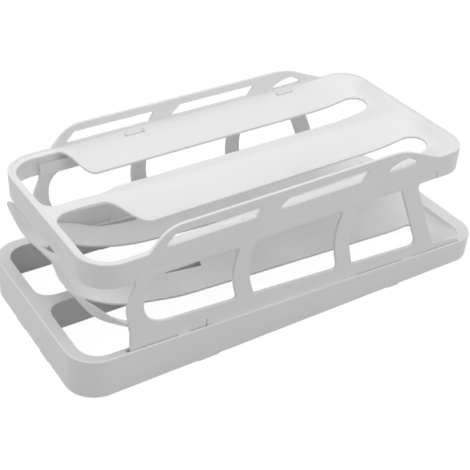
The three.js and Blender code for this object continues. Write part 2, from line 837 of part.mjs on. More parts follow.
function panelOutline() {
  const knee = panelHeight(panelStart, legKneeShare);
  const waist = panelHeight(panelStart, legWaistShare);
  const [bandLeft, bandTop] = fromTray(recessStart, -recessTop);
  const [bandRight, bandRightTop] = fromTray(recessEnd, -recessTop);
  const shape = outline([
    [panelStart, baseRim(panelStart) - panelFoot, windowRound],
    [panelStart, knee, legKneeRound],
    [panelStart - legBow, waist, legWaistRound],
    [bandLeft, bandFoot(bandLeft) - legNeckDrop, legNeckRound],
    [bandLeft, bandTop, recessRound],
    [bandRight, bandRightTop, bandEndRound],
    [bandRight, bandFoot(bandRight), bandEndRound],
    [rightLegTop, bandFoot(rightLegTop), windowRound],
    [rightLegFoot, baseRim(rightLegFoot) + stubLeft, windowRound],
    [panelEnd, baseRim(panelEnd) + stubRight, bandEndRound],
    [panelEnd, baseRim(panelEnd) - panelFoot, windowRound],
  ]);
  shape.holes = panelWindows();
  return shape;
}

// A hook in the tray's frame: an arm under the skirt, a tongue up behind it and a barb over the ledge.
function hook(side, [start, end]) {
  const outside = panelInner + root;
  const tongueOut = panelInner - wall - clearance * 2;
  const tongueIn = tongueOut - hookTongue;
  const low = hookLow - skirt;
  const barbFoot = wall + clearance * 2 - recessTop;
  const corners = [
    [outside, low],
    [tongueIn, low],
    [tongueIn, -hookTop],
    [tongueOut, barbFoot + barbHeight],
    [tongueOut + barbReach, barbFoot],
    [tongueOut, barbFoot],
    [tongueOut, low + hookArm],
    [outside, low + hookArm],
  ];
  const shape = new THREE.Shape(corners.map(([y, z]) => new THREE.Vector2(side * y, z)));
  return rail(shape, start + hookSide, end - hookSide).transform(trayMatrix.elements);
}

// A lug on the panel's leg, under the ramp's edge.
function rampLug(side) {
  const inner = panelInner - lugReach;
  const top = (x) => rampTop(x, inner) - sheet - clearance;
  const shape = new THREE.Shape([
    new THREE.Vector2(lugStart, top(lugStart)),
    new THREE.Vector2(lugStart, top(lugStart) - lugHeight),
    new THREE.Vector2(lugEnd, top(lugEnd) - lugHeight),
    new THREE.Vector2(lugEnd, top(lugEnd)),
  ]);
  return plate(shape, ...span(side, inner, panelInner + root));
}

function sidePanel(side) {
  const body = plate(panelOutline(), ...span(side, panelInner, panelOuter));
  const slit = block(
    [slitPlace, slitPlace + slitWidth],
    span(side, panelInner - overrun, panelOuter + overrun),
    [0, baseRim(slitPlace) + slitHeight],
  );
  const hooks = clipWindows.map((place) => hook(side, place));
  return join([cut(body, [slit]), ...hooks, rampLug(side)]);
}

// Ramp

const rampEnd = laneStart - clearance;
const rampEdge = (x) => (
  mix(panelInner, baseInnerHalf, ease(x, rampShoulderStart, rampShoulderEnd)) - clearance
);
const rampLine = (x) => (
  laneHeight(x) + rampRise * (1 - along(x, rampStart, rampBendEnd)) ** 2
);

// The left end in plan: two lobes with a notch between them and round outer corners.
const rampNotchAt = (off) => rampNotch * (1 + Math.cos(Math.PI * along(off, 0, rampNotchHalf))) / 2;

function rampLeft(y) {
  const off = Math.min(Math.abs(y), panelInner - clearance);
  const into = Math.max(0, off - (panelInner - clearance - rampCorner));
  const round = rampCorner - Math.sqrt(Math.max(0, rampCorner ** 2 - into ** 2));
  return rampStart + rampNotchAt(off) + round;
}

// How far a place on the ramp lies in from its left end, its round corner or its side.
function rampInto(x, y) {
  const off = Math.abs(y);
  const edge = rampEdge(x);
  const left = rampStart + rampCorner - x;
  const beyond = off - (edge - rampCorner);
  if (left > 0 && beyond > 0) return rampCorner - Math.hypot(left, beyond);
  return Math.min(x - rampStart - rampNotchAt(off), edge - off);
}

// The lip along the ramp's left end, highest at the corners, which runs out along the sides.
function rampLip(x, y) {
  const rise = mix(lipMiddle, lipCorner, ease(Math.abs(y), lipCornerStart, lipCornerEnd));
  const left = 1 - ease(x, rampStart, lipEnd);
  return rise * left * (1 - along(rampInto(x, y), 0, lipReach)) ** 2;
}

function rampTop(x, y) {
  const t = along(x, rampStart, rampEnd);
  const rim = mix(rampRim, rampFootRim, t);
  const height = laneProfile(y, {
    inner: mix(rampSlotInner, slotInner, t),
    outer: mix(rampSlotOuter, slotOuter, t),
    edge: rampEdge(x),
    ridge: mix(rampRidge, laneRidge, t),
    rim,
  });
  const bowl = (1 - along(x, rampLeft(y), rampLeft(y) + rampBowl)) ** 2;
  return rampLine(x) + mix(height, rim, bowl) + rampLip(x, y);
}

function rampSheet() {
  const rows = laneRows();
  return gridSheet(rampSteps + 1, rows.length, (i, j) => {
    const t = (i / rampSteps) ** rampPower;
    const placeAt = (x) => {
      const s = along(x, rampStart, rampEnd);
      const inner = mix(rampSlotInner, slotInner, s);
      const outer = mix(rampSlotOuter, slotOuter, s);
      return rowPlace(rows[j], inner, outer, rampEdge(x));
    };
    const x = mix(rampLeft(placeAt(rampStart)), rampEnd, t);
    const y = placeAt(x);
    return [x, y, rampTop(x, y)];
  });
}

function rampSlot(side) {
  const radius = (rampSlotOuter - rampSlotInner) / 2;
  const middle = side * (rampSlotInner + rampSlotOuter) / 2;
  const quarter = side * Math.PI / 2;
  const end = rampEnd + overrun;
  const shape = new THREE.Shape();
  shape.moveTo(end, side * slotInner);
  shape.lineTo(end, side * slotOuter);
  shape.lineTo(rampSlotStart + radius, side * rampSlotOuter);
  shape.absarc(rampSlotStart + radius, middle, radius, quarter, quarter + side * Math.PI, side < 0);
  shape.closePath();
  return prism(shape, 0, trayRimLeft);
}

// The slot along the crest, which widens to the foot.
function rampCrest() {
  const end = rampEnd + overrun;
  return prism(outline([
    [crestStart, -crestHalf, crestHalf],
    [end, -crestFootHalf, 0],
    [end, crestFootHalf, 0],
    [crestStart, crestHalf, crestHalf],
  ]), 0, trayRimLeft);
}

// A peg from the ramp's foot, under the base's lane, with the web that carries it.
function rampPeg(side) {
  const under = (x) => laneHeight(x) + laneProfile(pegSide, baseLaneAt(x)) - sheet;
  const start = new THREE.Vector3(pegStart, side * pegSide, under(pegStart) - pegRadius - clearance);
  const end = new THREE.Vector3(pegEnd, side * pegSide, under(pegEnd) - pegRadius - clearance);
  const peg = new THREE.CylinderGeometry(pegRadius, pegRadius, start.distanceTo(end), pegSides);
  const turn = new THREE.Quaternion().setFromUnitVectors(
    new THREE.Vector3(0, 1, 0),
    end.clone().sub(start).normalize(),
  );
  const middle = start.clone().add(end).multiplyScalar(1 / 2);
  const webEnd = rampEnd - ledgeLength;
  const web = block(
    [pegStart, webEnd],
    span(side, pegSide - pegRadius / 2, pegSide + pegRadius / 2),
    [start.z, rampTop(webEnd, pegSide) - sheet / 2],
  );
  return join([toSolid(peg.applyQuaternion(turn).translate(middle.x, middle.y, middle.z)), web]);
}

function ramp() {
  const lanes = cut(rampSheet(), [rampCrest(), ...[-1, 1].map(rampSlot)]);
  return join([lanes, ...[-1, 1].map(rampPeg)]);
}

// Assembly

const satinWhite = () => new THREE.MeshStandardMaterial({ color: 0xe9e9e9, roughness: 0.45, metalness: 0 });

function piece(name, solid) {
  const mesh = new THREE.Mesh(toGeometry(solid), satinWhite());
  mesh.name = name;
  return mesh;
}

const dispenser = new THREE.Group();
dispenser.position.x = -baseLength / 2;
dispenser.add(piece('base_tray', baseTray()));
dispenser.add(piece('ramp', ramp()));

const tray = piece('upper_tray', upperTray());
tray.position.set(trayInset, 0, trayRimLeft);
tray.rotation.y = -trayTilt;
dispenser.add(tray);

dispenser.add(piece('side_panel_front', sidePanel(-1)));
dispenser.add(piece('side_panel_rear', sidePanel(1)));

export default dispenser;
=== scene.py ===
# %% [markdown]
# # A rolling egg dispenser
# Two trays with W-shaped lanes stand over each other between two windowed side panels. Eggs roll left on
# the upper tray, drop through two holes onto a curved ramp, and roll right on the base to the hand.
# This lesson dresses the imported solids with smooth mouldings. Every size is in millimetres and goes to
# metres in one place, where a mesh is made.

# %% Load the frame
import math

import bmesh
import bpy
import numpy as np
from mathutils import Matrix, Vector
from mathutils.geometry import tessellate_polygon


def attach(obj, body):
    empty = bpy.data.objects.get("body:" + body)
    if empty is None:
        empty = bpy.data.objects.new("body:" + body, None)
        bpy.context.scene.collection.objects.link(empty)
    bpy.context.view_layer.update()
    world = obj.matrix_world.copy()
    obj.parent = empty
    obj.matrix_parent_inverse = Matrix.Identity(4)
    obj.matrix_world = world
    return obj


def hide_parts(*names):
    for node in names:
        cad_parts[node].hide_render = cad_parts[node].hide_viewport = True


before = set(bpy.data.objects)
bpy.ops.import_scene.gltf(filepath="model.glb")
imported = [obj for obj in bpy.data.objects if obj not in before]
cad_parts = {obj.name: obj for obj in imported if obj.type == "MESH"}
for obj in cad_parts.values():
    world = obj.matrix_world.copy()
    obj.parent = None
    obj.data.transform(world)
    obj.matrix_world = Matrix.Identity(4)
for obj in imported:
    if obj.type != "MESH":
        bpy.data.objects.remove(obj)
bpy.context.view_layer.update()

MM = 0.001
SIDES = ((-1, "front"), (1, "rear"))


def add_object(name, data):
    """An object in the scene, around a mesh, a lamp or a camera."""
    thing = bpy.data.objects.new(name, data)
    bpy.context.scene.collection.objects.link(thing)
    return thing


# %% [markdown]
# ## Camera
# The camera comes first, because every later piece is judged through it. Its place and turn were found by
# lining up the two trays' corners with the photograph. The picture is square, so one lens length fits both
# ways, and nothing is shifted.

# %% Camera
FOCAL, SENSOR = 75.16, 36.0
CAMERA_PLACE = (-380.8, -516.35, 479.2)
YAW, PITCH, ROLL = 35.56, 34.93, 4.32


def make_camera():
    """Right, up and back axes are worked out from yaw about Z, pitch below the horizon and roll."""
    yaw, pitch, roll = (math.radians(angle) for angle in (YAW, PITCH, ROLL))
    forward = np.array([math.sin(yaw) * math.cos(pitch), math.cos(yaw) * math.cos(pitch), -math.sin(pitch)])
    level = np.array([math.cos(yaw), -math.sin(yaw), 0])
    upright = np.cross(level, forward)
    right = math.cos(roll) * level + math.sin(roll) * upright
    up = math.cos(roll) * upright - math.sin(roll) * level
    data = bpy.data.cameras.new("camera")
    data.lens, data.sensor_width = FOCAL, SENSOR
    data.sensor_fit = "HORIZONTAL"
    camera = add_object("camera", data)
    rows = [(right[i], up[i], -forward[i], CAMERA_PLACE[i] * MM) for i in range(3)]
    camera.matrix_world = Matrix(rows + [(0, 0, 0, 1)])
    bpy.context.scene.camera = camera
    print("camera looks along", forward.round(3))


make_camera()

# %% [markdown]
# ## Helpers for curves in plan
# The mouldings are drawn as a draughtsman would: straight runs, arcs and soft S-bends, chained into one
# curve. Each curve is an array of points, so that a whole edge is bent or moved in one sum.

# %% Plan curves
SAME_PLACE, NO_LENGTH = 1e-4, 1e-9


def run(start, end, steps):
    """A straight run of evenly spaced points."""
    return np.linspace(start, end, steps + 1)


def arc(centre, radius, start, end, steps):
    """A part of a circle between two angles in degrees."""
    angle = np.radians(np.linspace(start, end, steps + 1))
    return np.array(centre) + radius * np.stack([np.cos(angle), np.sin(angle)], 1)


def bend(points, steps):
    """A soft curve drawn by three or four points, by mixing neighbours until one point is left."""
    t = np.linspace(0, 1, steps + 1)[:, None]
    level = [np.array(point, float)[None, :] for point in points]
    while len(level) > 1:
        level = [(1 - t) * a + t * b for a, b in zip(level, level[1:])]
    return level[0]


def chain(*parts):
    """Curves set end to end, with each shared point kept once."""
    return np.concatenate([parts[0]] + [part[1:] for part in parts[1:]])


def rounded(corners, steps=8):
    """A closed outline over corners (x, y, radius). A corner is a parabola that starts and ends where an
    arc of that radius would, and corners on a short side share it."""
    points = np.array([corner[:2] for corner in corners], float)
    radius = np.array([corner[2] for corner in corners], float)
    back, ahead = np.roll(points, 1, 0) - points, np.roll(points, -1, 0) - points
    back_length, ahead_length = np.linalg.norm(back, axis=1), np.linalg.norm(ahead, axis=1)
    cosine = (back * ahead).sum(1) / (back_length * ahead_length)
    reach = radius / np.tan(np.arccos(np.clip(cosine, -1, 1)) / 2)
    both = np.maximum(reach + np.roll(reach, -1), NO_LENGTH)
    room = np.minimum(1, ahead_length / both)
    reach = reach * np.minimum(room, np.roll(room, 1))
    start = points + back * (reach / back_length)[:, None]
    end = points + ahead * (reach / ahead_length)[:, None]
    t = np.linspace(0, 1, steps + 1)[None, :, None]
    curve = (1 - t) ** 2 * start[:, None] + 2 * t * (1 - t) * points[:, None] + t ** 2 * end[:, None]
    loop = curve.reshape(-1, 2)
    return loop[np.linalg.norm(loop - np.roll(loop, 1, 0), axis=1) > SAME_PLACE]


def softened(corners, radius, steps=3):
    """A closed outline over corners (x, y), all with one radius."""
    return rounded([(*corner, radius) for corner in corners], steps)


def rectangle(x0, x1, z0, z1, radius):
    """A small rectangle with softened corners."""
    return softened([(x0, z0), (x1, z0), (x1, z1), (x0, z1)], radius)


def area(loop):
    """Signed area of a closed loop, positive when it runs anticlockwise."""
    ahead = np.roll(loop, -1, 0)
    return (loop[:, 0] * ahead[:, 1] - ahead[:, 0] * loop[:, 1]).sum() / 2


def mix(a, b, t):
    """Goes from a to b as t goes from 0 to 1."""
    return a + (b - a) * t


def along(x, start, end):
    """How far x is on the way from start to end, held between 0 and 1."""
    return np.clip((x - start) / (end - start), 0, 1)


def ease(x, start, end):
    """The same way, but starting and ending softly."""
    t = along(x, start, end)
    return t * t * (3 - 2 * t)


print("a square millimetre with soft corners has an area of", area(rectangle(0, 1, 0, 1, 0.25)))

# %% [markdown]
# ## Helpers for meshes
# Three kinds of surface make everything here. A loft carries a section along a path and makes the trays'
# rims. A band is a curved sheet between two plan curves, and makes the lanes. A slab is a flat plate with
# holes, and makes the panels and guards. Moulded plastic has no sharp edges, so each kind rounds its own
# while it is made. That keeps the edges even where a bevel would stumble over the slots' fine grid.

# %% Mesh from arrays
BODY, SLOT = "root", "white_plastic"
X_MIDDLE = 185.0
MERGE = 2e-6
SHARP_ANGLE = math.radians(38)
made = []


def grid_faces(across, around, close_across, close_around):
    """Quads of a grid of points, numbered row by row."""
    u = np.arange(across if close_across else across - 1)
    v = np.arange(around if close_around else around - 1)
    u, v = np.meshgrid(u, v, indexing="ij")
    u_next, v_next = (u + 1) % across, (v + 1) % around
    corners = [u * around + v, u_next * around + v, u_next * around + v_next, u * around + v_next]
    return np.stack(corners, -1).reshape(-1, 4)


def end_caps(across, around):
    """Faces over the first and the last row of a grid whose rows are rings."""
    ring = list(range(around))
    return [ring, [(across - 1) * around + i for i in reversed(ring)]]


def to_metres(points):
    """From millimetres, with x from the left end, to metres with x from the middle."""
    return ((points - np.array([X_MIDDLE, 0, 0])) * MM).tolist()


def smooth(piece):
    """Smooth shading with sharp edges kept, and normals that lean on the large faces."""
    piece.data.shade_smooth()
    piece.data.set_sharp_from_angle(angle=SHARP_ANGLE)
    weight = piece.modifiers.new("even_normals", "WEIGHTED_NORMAL")
    weight.keep_sharp = True


def moulding(name, points, faces, cad_node, to_dispenser=np.asarray):
    """A closed mesh with doubles merged and faces turned outwards. It stands for a part of a CAD node."""
    mesh = bpy.data.meshes.new(name)
    mesh.from_pydata(to_metres(to_dispenser(points)), [], faces)
    work = bmesh.new()
    work.from_mesh(mesh)
    bmesh.ops.remove_doubles(work, verts=work.verts, dist=MERGE)
    bmesh.ops.delete(work, geom=[v for v in work.verts if not v.link_faces], context="VERTS")
    bmesh.ops.recalc_face_normals(work, faces=work.faces)
    work.to_mesh(mesh)
    work.free()
    piece = add_object(name, mesh)
    smooth(piece)
    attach(piece, BODY)
    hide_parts(cad_node)
    made.append(piece)
    print(name, "has", len(mesh.polygons), "faces")
    return piece


def loft(name, rings, cad_node, closed=False, to_dispenser=np.asarray):
    """Rings set one behind the other, with a face over each end unless the last one meets the first."""
    across, around = rings.shape[:2]
    caps = [] if closed else end_caps(across, around)
    faces = grid_faces(across, around, closed, True).tolist() + caps
    return moulding(name, rings.reshape(-1, 3), faces, cad_node, to_dispenser)


# %% Band between two plan curves
SHEET = 2.0  # thickness of lanes and flanges
EDGE = 0.5  # radius of the rounded edges
ON_MIDDLE = 1e-6


def band(name, inner, outer, top, cad_node, rim=0.0, rows=40, to_dispenser=np.asarray, gather=0.8):
    """A sheet from the plan curve inner to outer, under the height function top(x, y), and its mirror
    image about y = 0. The section runs out over the top, round the far edge, back underneath and round
    the near edge. rim is the far edge's radius, 0 where the sheet ends inside another wall."""
    reach = outer - inner
    length = np.linalg.norm(reach, axis=1)
    toward = (reach / length[:, None])[:, None, :]
    rim = np.broadcast_to(rim, length.shape)[:, None]
    length = length[:, None]
    turn = np.linspace(0, np.pi / 2, 5)[None, :]
    share = (np.linspace(0, 1, rows) ** gather)[None, :]
    flat = EDGE + (length - EDGE - rim) * share
    over, under = 1 - np.sin(turn), 1 - np.cos(turn)
    sections = [
        (flat, 0 * flat),
        (length - rim * over[:, 1:], EDGE * under[:, 1:] + 0 * length),
        (length - rim * under, SHEET - EDGE * over + 0 * length),
        (flat[:, -2::-1], SHEET + 0 * flat[:, -2::-1]),
        (EDGE * under[:, -2::-1] + 0 * length, SHEET - EDGE * over[:, -2::-1] + 0 * length),
        (EDGE * over[:, -2:0:-1] + 0 * length, EDGE * under[:, -2:0:-1] + 0 * length),
    ]
    distance = np.concatenate([part[0] for part in sections], 1)
    drop = np.concatenate([part[1] for part in sections], 1)
    plan = inner[:, None, :] + toward * distance[..., None]
    height = top(plan[..., 0], plan[..., 1]) - drop
    points = np.concatenate([plan, height[..., None]], 2).reshape(-1, 3)
    quads = grid_faces(*distance.shape, False, True)
    middle = (np.abs(points[quads][..., 1]) < ON_MIDDLE).all(1)
    faces = quads[~middle].tolist() + end_caps(*distance.shape)
    mirrored = [[len(points) + i for i in face[::-1]] for face in faces]
    both = np.concatenate([points, points * np.array([1, -1, 1])])
    return moulding(name, both, faces + mirrored, cad_node, to_dispenser)


def facing(path, centre, points):
    """For each point, the point of path that lies in the same direction from centre."""
    def angle(p):
        return np.unwrap(np.arctan2(p[:, 1] - centre[1], p[:, 0] - centre[0]))
    of_path, of_points = angle(path), angle(points)
    of_points = of_points + 2 * np.pi * np.round((of_path[0] - of_points[0]) / (2 * np.pi))
    if of_path[-1] < of_path[0]:
        path, of_path = path[::-1], of_path[::-1]
    return np.stack([np.interp(of_points, of_path, path[:, axis]) for axis in (0, 1)], 1)


# %% Slab with holes
def slab(name, outline, holes, thickness, cad_node, to_dispenser, edge):
    """A flat plate between 0 and thickness. Each loop is drawn at several depths, pulled in near the two
    faces by the edge's quarter circle, and the faces are filled with triangles round the holes."""
    loops = [outline if area(outline) > 0 else outline[::-1]]
    loops += [hole if area(hole) < 0 else hole[::-1] for hole in holes]
    turn = np.linspace(0, np.pi / 2, 4)
    inset = np.concatenate([edge * (1 - np.sin(turn)), edge * (1 - np.cos(turn))])
    depth = np.concatenate([thickness - edge * (1 - np.cos(turn)), edge * (1 - np.sin(turn))])
    points, faces, tops, start = [], [], [], 0
    for loop in loops:
        ahead = np.roll(loop, -1, 0) - np.roll(loop, 1, 0)
        outward = np.stack([ahead[:, 1], -ahead[:, 0]], 1)
        outward /= np.linalg.norm(outward, axis=1)[:, None]
        flat = loop[None] - outward[None] * inset[:, None, None]
        level = np.broadcast_to(depth[:, None, None], flat.shape[:2] + (1,))
        points.append(np.concatenate([flat, level], 2).reshape(-1, 3))
        faces.append(grid_faces(len(inset), len(loop), False, True) + start)
        tops.append((start, len(loop)))
        start += len(inset) * len(loop)
    points = np.concatenate(points)
    rings = [[Vector(point) for point in points[first:first + count]] for first, count in tops]
    fill = np.array(tessellate_polygon(rings))
    upper = np.concatenate([np.arange(first, first + count) for first, count in tops])
    down = np.concatenate([np.full(count, (len(inset) - 1) * count) for _, count in tops])
    ends = upper[fill].tolist() + (upper + down)[fill][:, ::-1].tolist()
    return moulding(name, points, np.concatenate(faces).tolist() + ends, cad_node, to_dispenser)


def upright(near, far):
    """Stands a slab up: its outline lies in x and z, and its thickness runs from near to far in y."""
    def place(points):
        y = near + points[:, 2] * np.sign(far - near)
        return np.stack([points[:, 0], y, points[:, 1]], 1)
    return place


# %% [markdown]
# ## Rims
# Both trays have a rim like an L upside down: a wall, and a flange that falls gently inwards. A bent bar
# with a bevel could stand for it, but where a panel stands the section itself changes: the base's flange
# opens into a pocket, and the upper tray's skirt steps in behind the panel. So the section is carried
# around a rounded rectangle, and each of its points may depend on where it is.

# %% Path around a tray
CORNER_STEPS = 20
HAIR = 0.02  # too little to see, but it keeps two faces from lying in one plane
SQUARE_ON = 0.999  # how squarely a wall must face sideways to count as a long side's


def around_tray(x0, x1, half, left, right, side_shares):
    """Points and inward directions round a rectangle with its own corner radius at each end.
    side_shares says where the points on the long sides lie, from the right corner to the left."""
    quarter = np.linspace(0, 90, CORNER_STEPS + 1)
    ends = np.linspace(0, 1, 6)[1:-1]
    points, inward = [], []
    corners = [(x1 - right, half - right, right, 0), (x0 + left, half - left, left, 90),
               (x0 + left, left - half, left, 180), (x1 - right, right - half, right, 270)]
    ways = (side_shares, ends, 1 - side_shares[::-1], ends)
    for way, corner, following in zip(ways, corners, corners[1:] + corners[:1]):
        x, y, radius, start = corner
        angle = np.radians(start + quarter)
        out = np.stack([np.cos(angle), np.sin(angle)], 1)
        points.append(np.array([x, y]) + radius * out)
        inward.append(-out)
        x, y, radius, start = following
        angle = math.radians(start)
        last = np.array([x, y]) + radius * np.array([math.cos(angle), math.sin(angle)])
        first = points[-1][-1]
        points.append(first + (last - first) * way[:, None])
        inward.append(np.repeat(-out[-1][None], len(way), 0))
    return np.concatenate(points), np.concatenate(inward)


def shares_of(places, x0, x1, left, right):
    """Turns x places on a long side into shares from the right corner to the left one."""
    start, end = x1 - right, x0 + left
    inside = np.array([place for place in places if end < place < start])
    return np.sort((start - inside) / (start - end))


def pairs(places):
    """Each place twice, a hair apart, so that a step in the section stands up straight."""
    return [place + side * HAIR / 2 for place in places for side in (-1, 1)]


def on_side(inward):
    """True for the points on the two long sides."""
    return np.abs(inward[:, 1]) > SQUARE_ON


def with_height(plan, height):
    """Plan points with a height, as one array of three columns."""
    height = np.broadcast_to(height, plan.shape[:1])
    return np.concatenate([plan, height[:, None]], 1)


# %% [markdown]
# ## Base tray
# The base is the stiff frame that everything stands in. Its rim falls towards the right, with the lanes.
# The long pockets for the panels' feet are part of the rim's section, so that no cut is needed.

# %% Base sizes
LENGTH, WIDTH = 370.0, 157.1
BASE_HALF, BASE_CORNER, BASE_WALL = WIDTH / 2, 23.3, 3.0
RIM_LEFT, RIM_RIGHT = 33.6, 20.3
SIDE_FLANGE, LEFT_FLANGE, RIGHT_FLANGE = 7.45, 9.8, 11.7
BASE_DROP = 1.6
INNER_HALF, INNER_END = BASE_HALF - SIDE_FLANGE, LENGTH - RIGHT_FLANGE
LEFT_INNER_CORNER, RIGHT_INNER_CORNER = 16.0, 13.5
LANE_START = 138.5
SLOT_INNER, SLOT_OUTER = 25.55, 49.25
SLOT_MIDDLE, SLOT_RADIUS = (SLOT_INNER + SLOT_OUTER) / 2, (SLOT_OUTER - SLOT_INNER) / 2
TOP_ROUND, CLEARANCE, WALL = 1.1, 0.3, 2.4
SOFT_ROUND, SMALL_ROUND, TINY_ROUND = 0.4, 0.3, 0.2  # of small details
TOP_TURN = np.linspace(0, np.pi / 2, 7)
TOP_ARC = [(TOP_ROUND * (1 - math.cos(a)), TOP_ROUND * (1 - math.sin(a))) for a in TOP_TURN]
TRAY_WIDTH = 152.1
PANEL_OUTER = TRAY_WIDTH / 2
PANEL_INNER = PANEL_OUTER - WALL
PANEL_FOOT = 10.0
POCKET_START, POCKET_END, POCKET_FRONT = 37.0, 346.3, 0.7
TIGHT_START, TIGHT_END, TIGHT_GAP = 101.0, 236.5, 0.06  # where the pocket's wall closes in on the panel
FOOT_HEIGHT = 0.8
LOW_ROUND, LOW_MIDDLE = 0.5, 0.15
FLANGE_SHARES = (0.955, 0.99, 0.97)  # of the flange's width, where its inner edge rounds
FLANGE_FIRST, FLANGE_ROUND = 0.12, 0.45
BASE_STATIONS = np.linspace(30, 340, 32)


def base_rim(x):
    """Height of the base's rim: a straight line that falls to the right."""
    return mix(RIM_LEFT, RIM_RIGHT, x / LENGTH)


# %% Base rim
def make_base_rim():
    """The section's rows, from the outer foot over the top, down the pocket and back under the flange."""
    places = sorted(pairs([POCKET_START, POCKET_END]) + list(BASE_STATIONS))
    shares = shares_of(places, 0, LENGTH, BASE_CORNER, BASE_CORNER)
    outer, inward = around_tray(0, LENGTH, BASE_HALF, BASE_CORNER, BASE_CORNER, shares)
    inner, _ = around_tray(
        LEFT_FLANGE, INNER_END, INNER_HALF, LEFT_INNER_CORNER, RIGHT_INNER_CORNER, shares,
    )
    x = outer[:, 0]
    pocket = on_side(inward) & (x > POCKET_START) & (x < POCKET_END)
    depth = np.where(pocket, PANEL_FOOT + CLEARANCE, 0.0)

    def at(inset, drop):
        plan = outer + inward * np.broadcast_to(inset, len(outer))[:, None]
        return with_height(plan, base_rim(plan[:, 0]) - drop)

    def between(share, drop):
        plan = mix(outer, inner, share)
        return with_height(plan, base_rim(plan[:, 0]) - drop)

    def low(inset, height):
        return with_height(outer + inward * inset, FOOT_HEIGHT + height)

    def fall(inset):
        return BASE_DROP * inset / SIDE_FLANGE

    tight = (x > TIGHT_START) & (x < TIGHT_END)
    front = BASE_HALF - PANEL_OUTER - np.where(tight, TIGHT_GAP, POCKET_FRONT)
    back = BASE_HALF - PANEL_INNER + CLEARANCE
    start_share, edge_share, under_share = FLANGE_SHARES
    rows = [low(LOW_ROUND, 0), low(LOW_MIDDLE, LOW_MIDDLE), low(0, LOW_ROUND)]
    rows += [at(inset, drop) for inset, drop in TOP_ARC]
    rows += [at(front, fall(front)), at(front, fall(front) + depth)]
    rows += [at(back, fall(back) + depth), at(back, fall(back))]
    rows += [between(start_share, BASE_DROP * start_share), between(edge_share, BASE_DROP + FLANGE_FIRST)]
    rows += [between(1, BASE_DROP + FLANGE_ROUND), between(1, BASE_DROP + SHEET - FLANGE_ROUND + depth)]
    rows += [between(under_share, BASE_DROP + SHEET + depth)]
    rows += [at(BASE_WALL, SHEET + fall(BASE_WALL) + depth)]
    rows += [low(BASE_WALL, LOW_ROUND), low(BASE_WALL - LOW_ROUND, 0)]
    return loft("base_tray_rim", np.stack(rows, 1), "base_tray", closed=True)


make_base_rim()

# %% [markdown]
# ## Lanes of the base
# Across, a lane pair is a W: a rounded ridge in the middle, two bottoms with a long slot, and wings that
# rise to the flange. Along, it is straight, and at the right end it rises in a bowl that stops the eggs.
# Sculpting would lose the even thickness, so one height function says all that, and the band samples it.

# %% W-shaped lanes
RIDGE_ROUND, VALLEY_DIP = 5.0, 1.2


def lane_profile(y, inner, outer, edge, ridge, rim):
    """Height over the slot's edges: a hyperbola over the ridge, a shallow hollow in the bottom and a
    straight wing."""
    off = np.abs(y)
    fall = (np.hypot(off, RIDGE_ROUND) - RIDGE_ROUND) / (np.hypot(inner, RIDGE_ROUND) - RIDGE_ROUND)
    hollow = -VALLEY_DIP * np.sin(np.pi * along(off, inner, outer))
    wing = rim * (off - outer) / (edge - outer)
    return np.where(off <= inner, ridge * (1 - fall), np.where(off < outer, hollow, wing))


def rounded_end(y, end, half, radius):
    """Where the lanes meet the right flange, whose inner corners are round."""
    into = np.clip(np.minimum(np.abs(y), half) - (half - radius), 0, radius)
    return end - radius + np.sqrt(radius ** 2 - into ** 2)


def bowl_rise(x, y, length, end, half, radius):
    """A quarter of an ellipse from 0 where the bowl starts to 1 at the flange."""
    left = along(rounded_end(y, end, half, radius) - x, 0, length)
    return 1 - np.sqrt(np.clip(1 - (1 - left) ** 2, 0, 1))


# %% Base lanes
LANE_START_HEIGHT, LANE_FALL, LANE_RIDGE = 16.3, 10.1, 10.0
BASE_SLOT_END, BASE_BOWL = 345.0, 45.0
SLOT_BEND = 40.0  # length of the slot that is drawn finer, before its round end
LAP = 1.5  # how far a sheet reaches under a flange
CLOSE_SEAM = 0.26  # how far the lanes reach into the clearance before the ramp's foot


def lane_height(x):
    """Height of the base's lanes at the slots' edges."""
    return LANE_START_HEIGHT - LANE_FALL * (x - LANE_START) / (INNER_END - LANE_START)


def base_top(x, y):
    """The base's lanes: the W, risen to the flange's level in the bowl."""
    level = base_rim(x) - BASE_DROP
    profile = lane_profile(y, SLOT_INNER, SLOT_OUTER, INNER_HALF, LANE_RIDGE, level - lane_height(x))
    flat = lane_height(x) + np.where(np.abs(y) > INNER_HALF, level - lane_height(x), profile)
    rise = bowl_rise(x, y, BASE_BOWL, INNER_END, INNER_HALF, RIGHT_INNER_CORNER)
    return mix(flat, level, rise)


def lane_curves(start, end_x, slot_end, half, corner):
    """A slot's edge, out along its inner side, round its end and back, and what each point faces:
    the ridge's line, the right flange and the side flange, a little way under the flange."""
    centre = (slot_end - SLOT_RADIUS, SLOT_MIDDLE)
    far_x, far_y = end_x + LAP, half + LAP
    bowl = centre[0] - SLOT_BEND
    inner_run = chain(run((start, SLOT_INNER), (bowl, SLOT_INNER), 24),
                      run((bowl, SLOT_INNER), (centre[0], SLOT_INNER), 20))
    round_end = arc(centre, SLOT_RADIUS, -90, 90, 72)
    outer_run = chain(run((centre[0], SLOT_OUTER), (bowl, SLOT_OUTER), 20),
                      run((bowl, SLOT_OUTER), (start, SLOT_OUTER), 24))
    turn = corner + LAP
    path = chain(run((centre[0], 0), (far_x, 0), 30), run((far_x, 0), (far_x, far_y - turn), 60),
                 arc((far_x - turn, far_y - turn), turn, 0, 90, 40),
                 run((far_x - turn, far_y), (centre[0], far_y), 20))
    faced = chain(inner_run * np.array([1, 0]), facing(path, centre, round_end),
                  np.stack([outer_run[:, 0], np.full(len(outer_run), far_y)], 1))
    return chain(inner_run, round_end, outer_run), faced


inner, outer = lane_curves(
    LANE_START - CLOSE_SEAM, INNER_END, BASE_SLOT_END, INNER_HALF, RIGHT_INNER_CORNER,
)
band("base_tray_lanes", inner, outer, base_top, "base_tray")

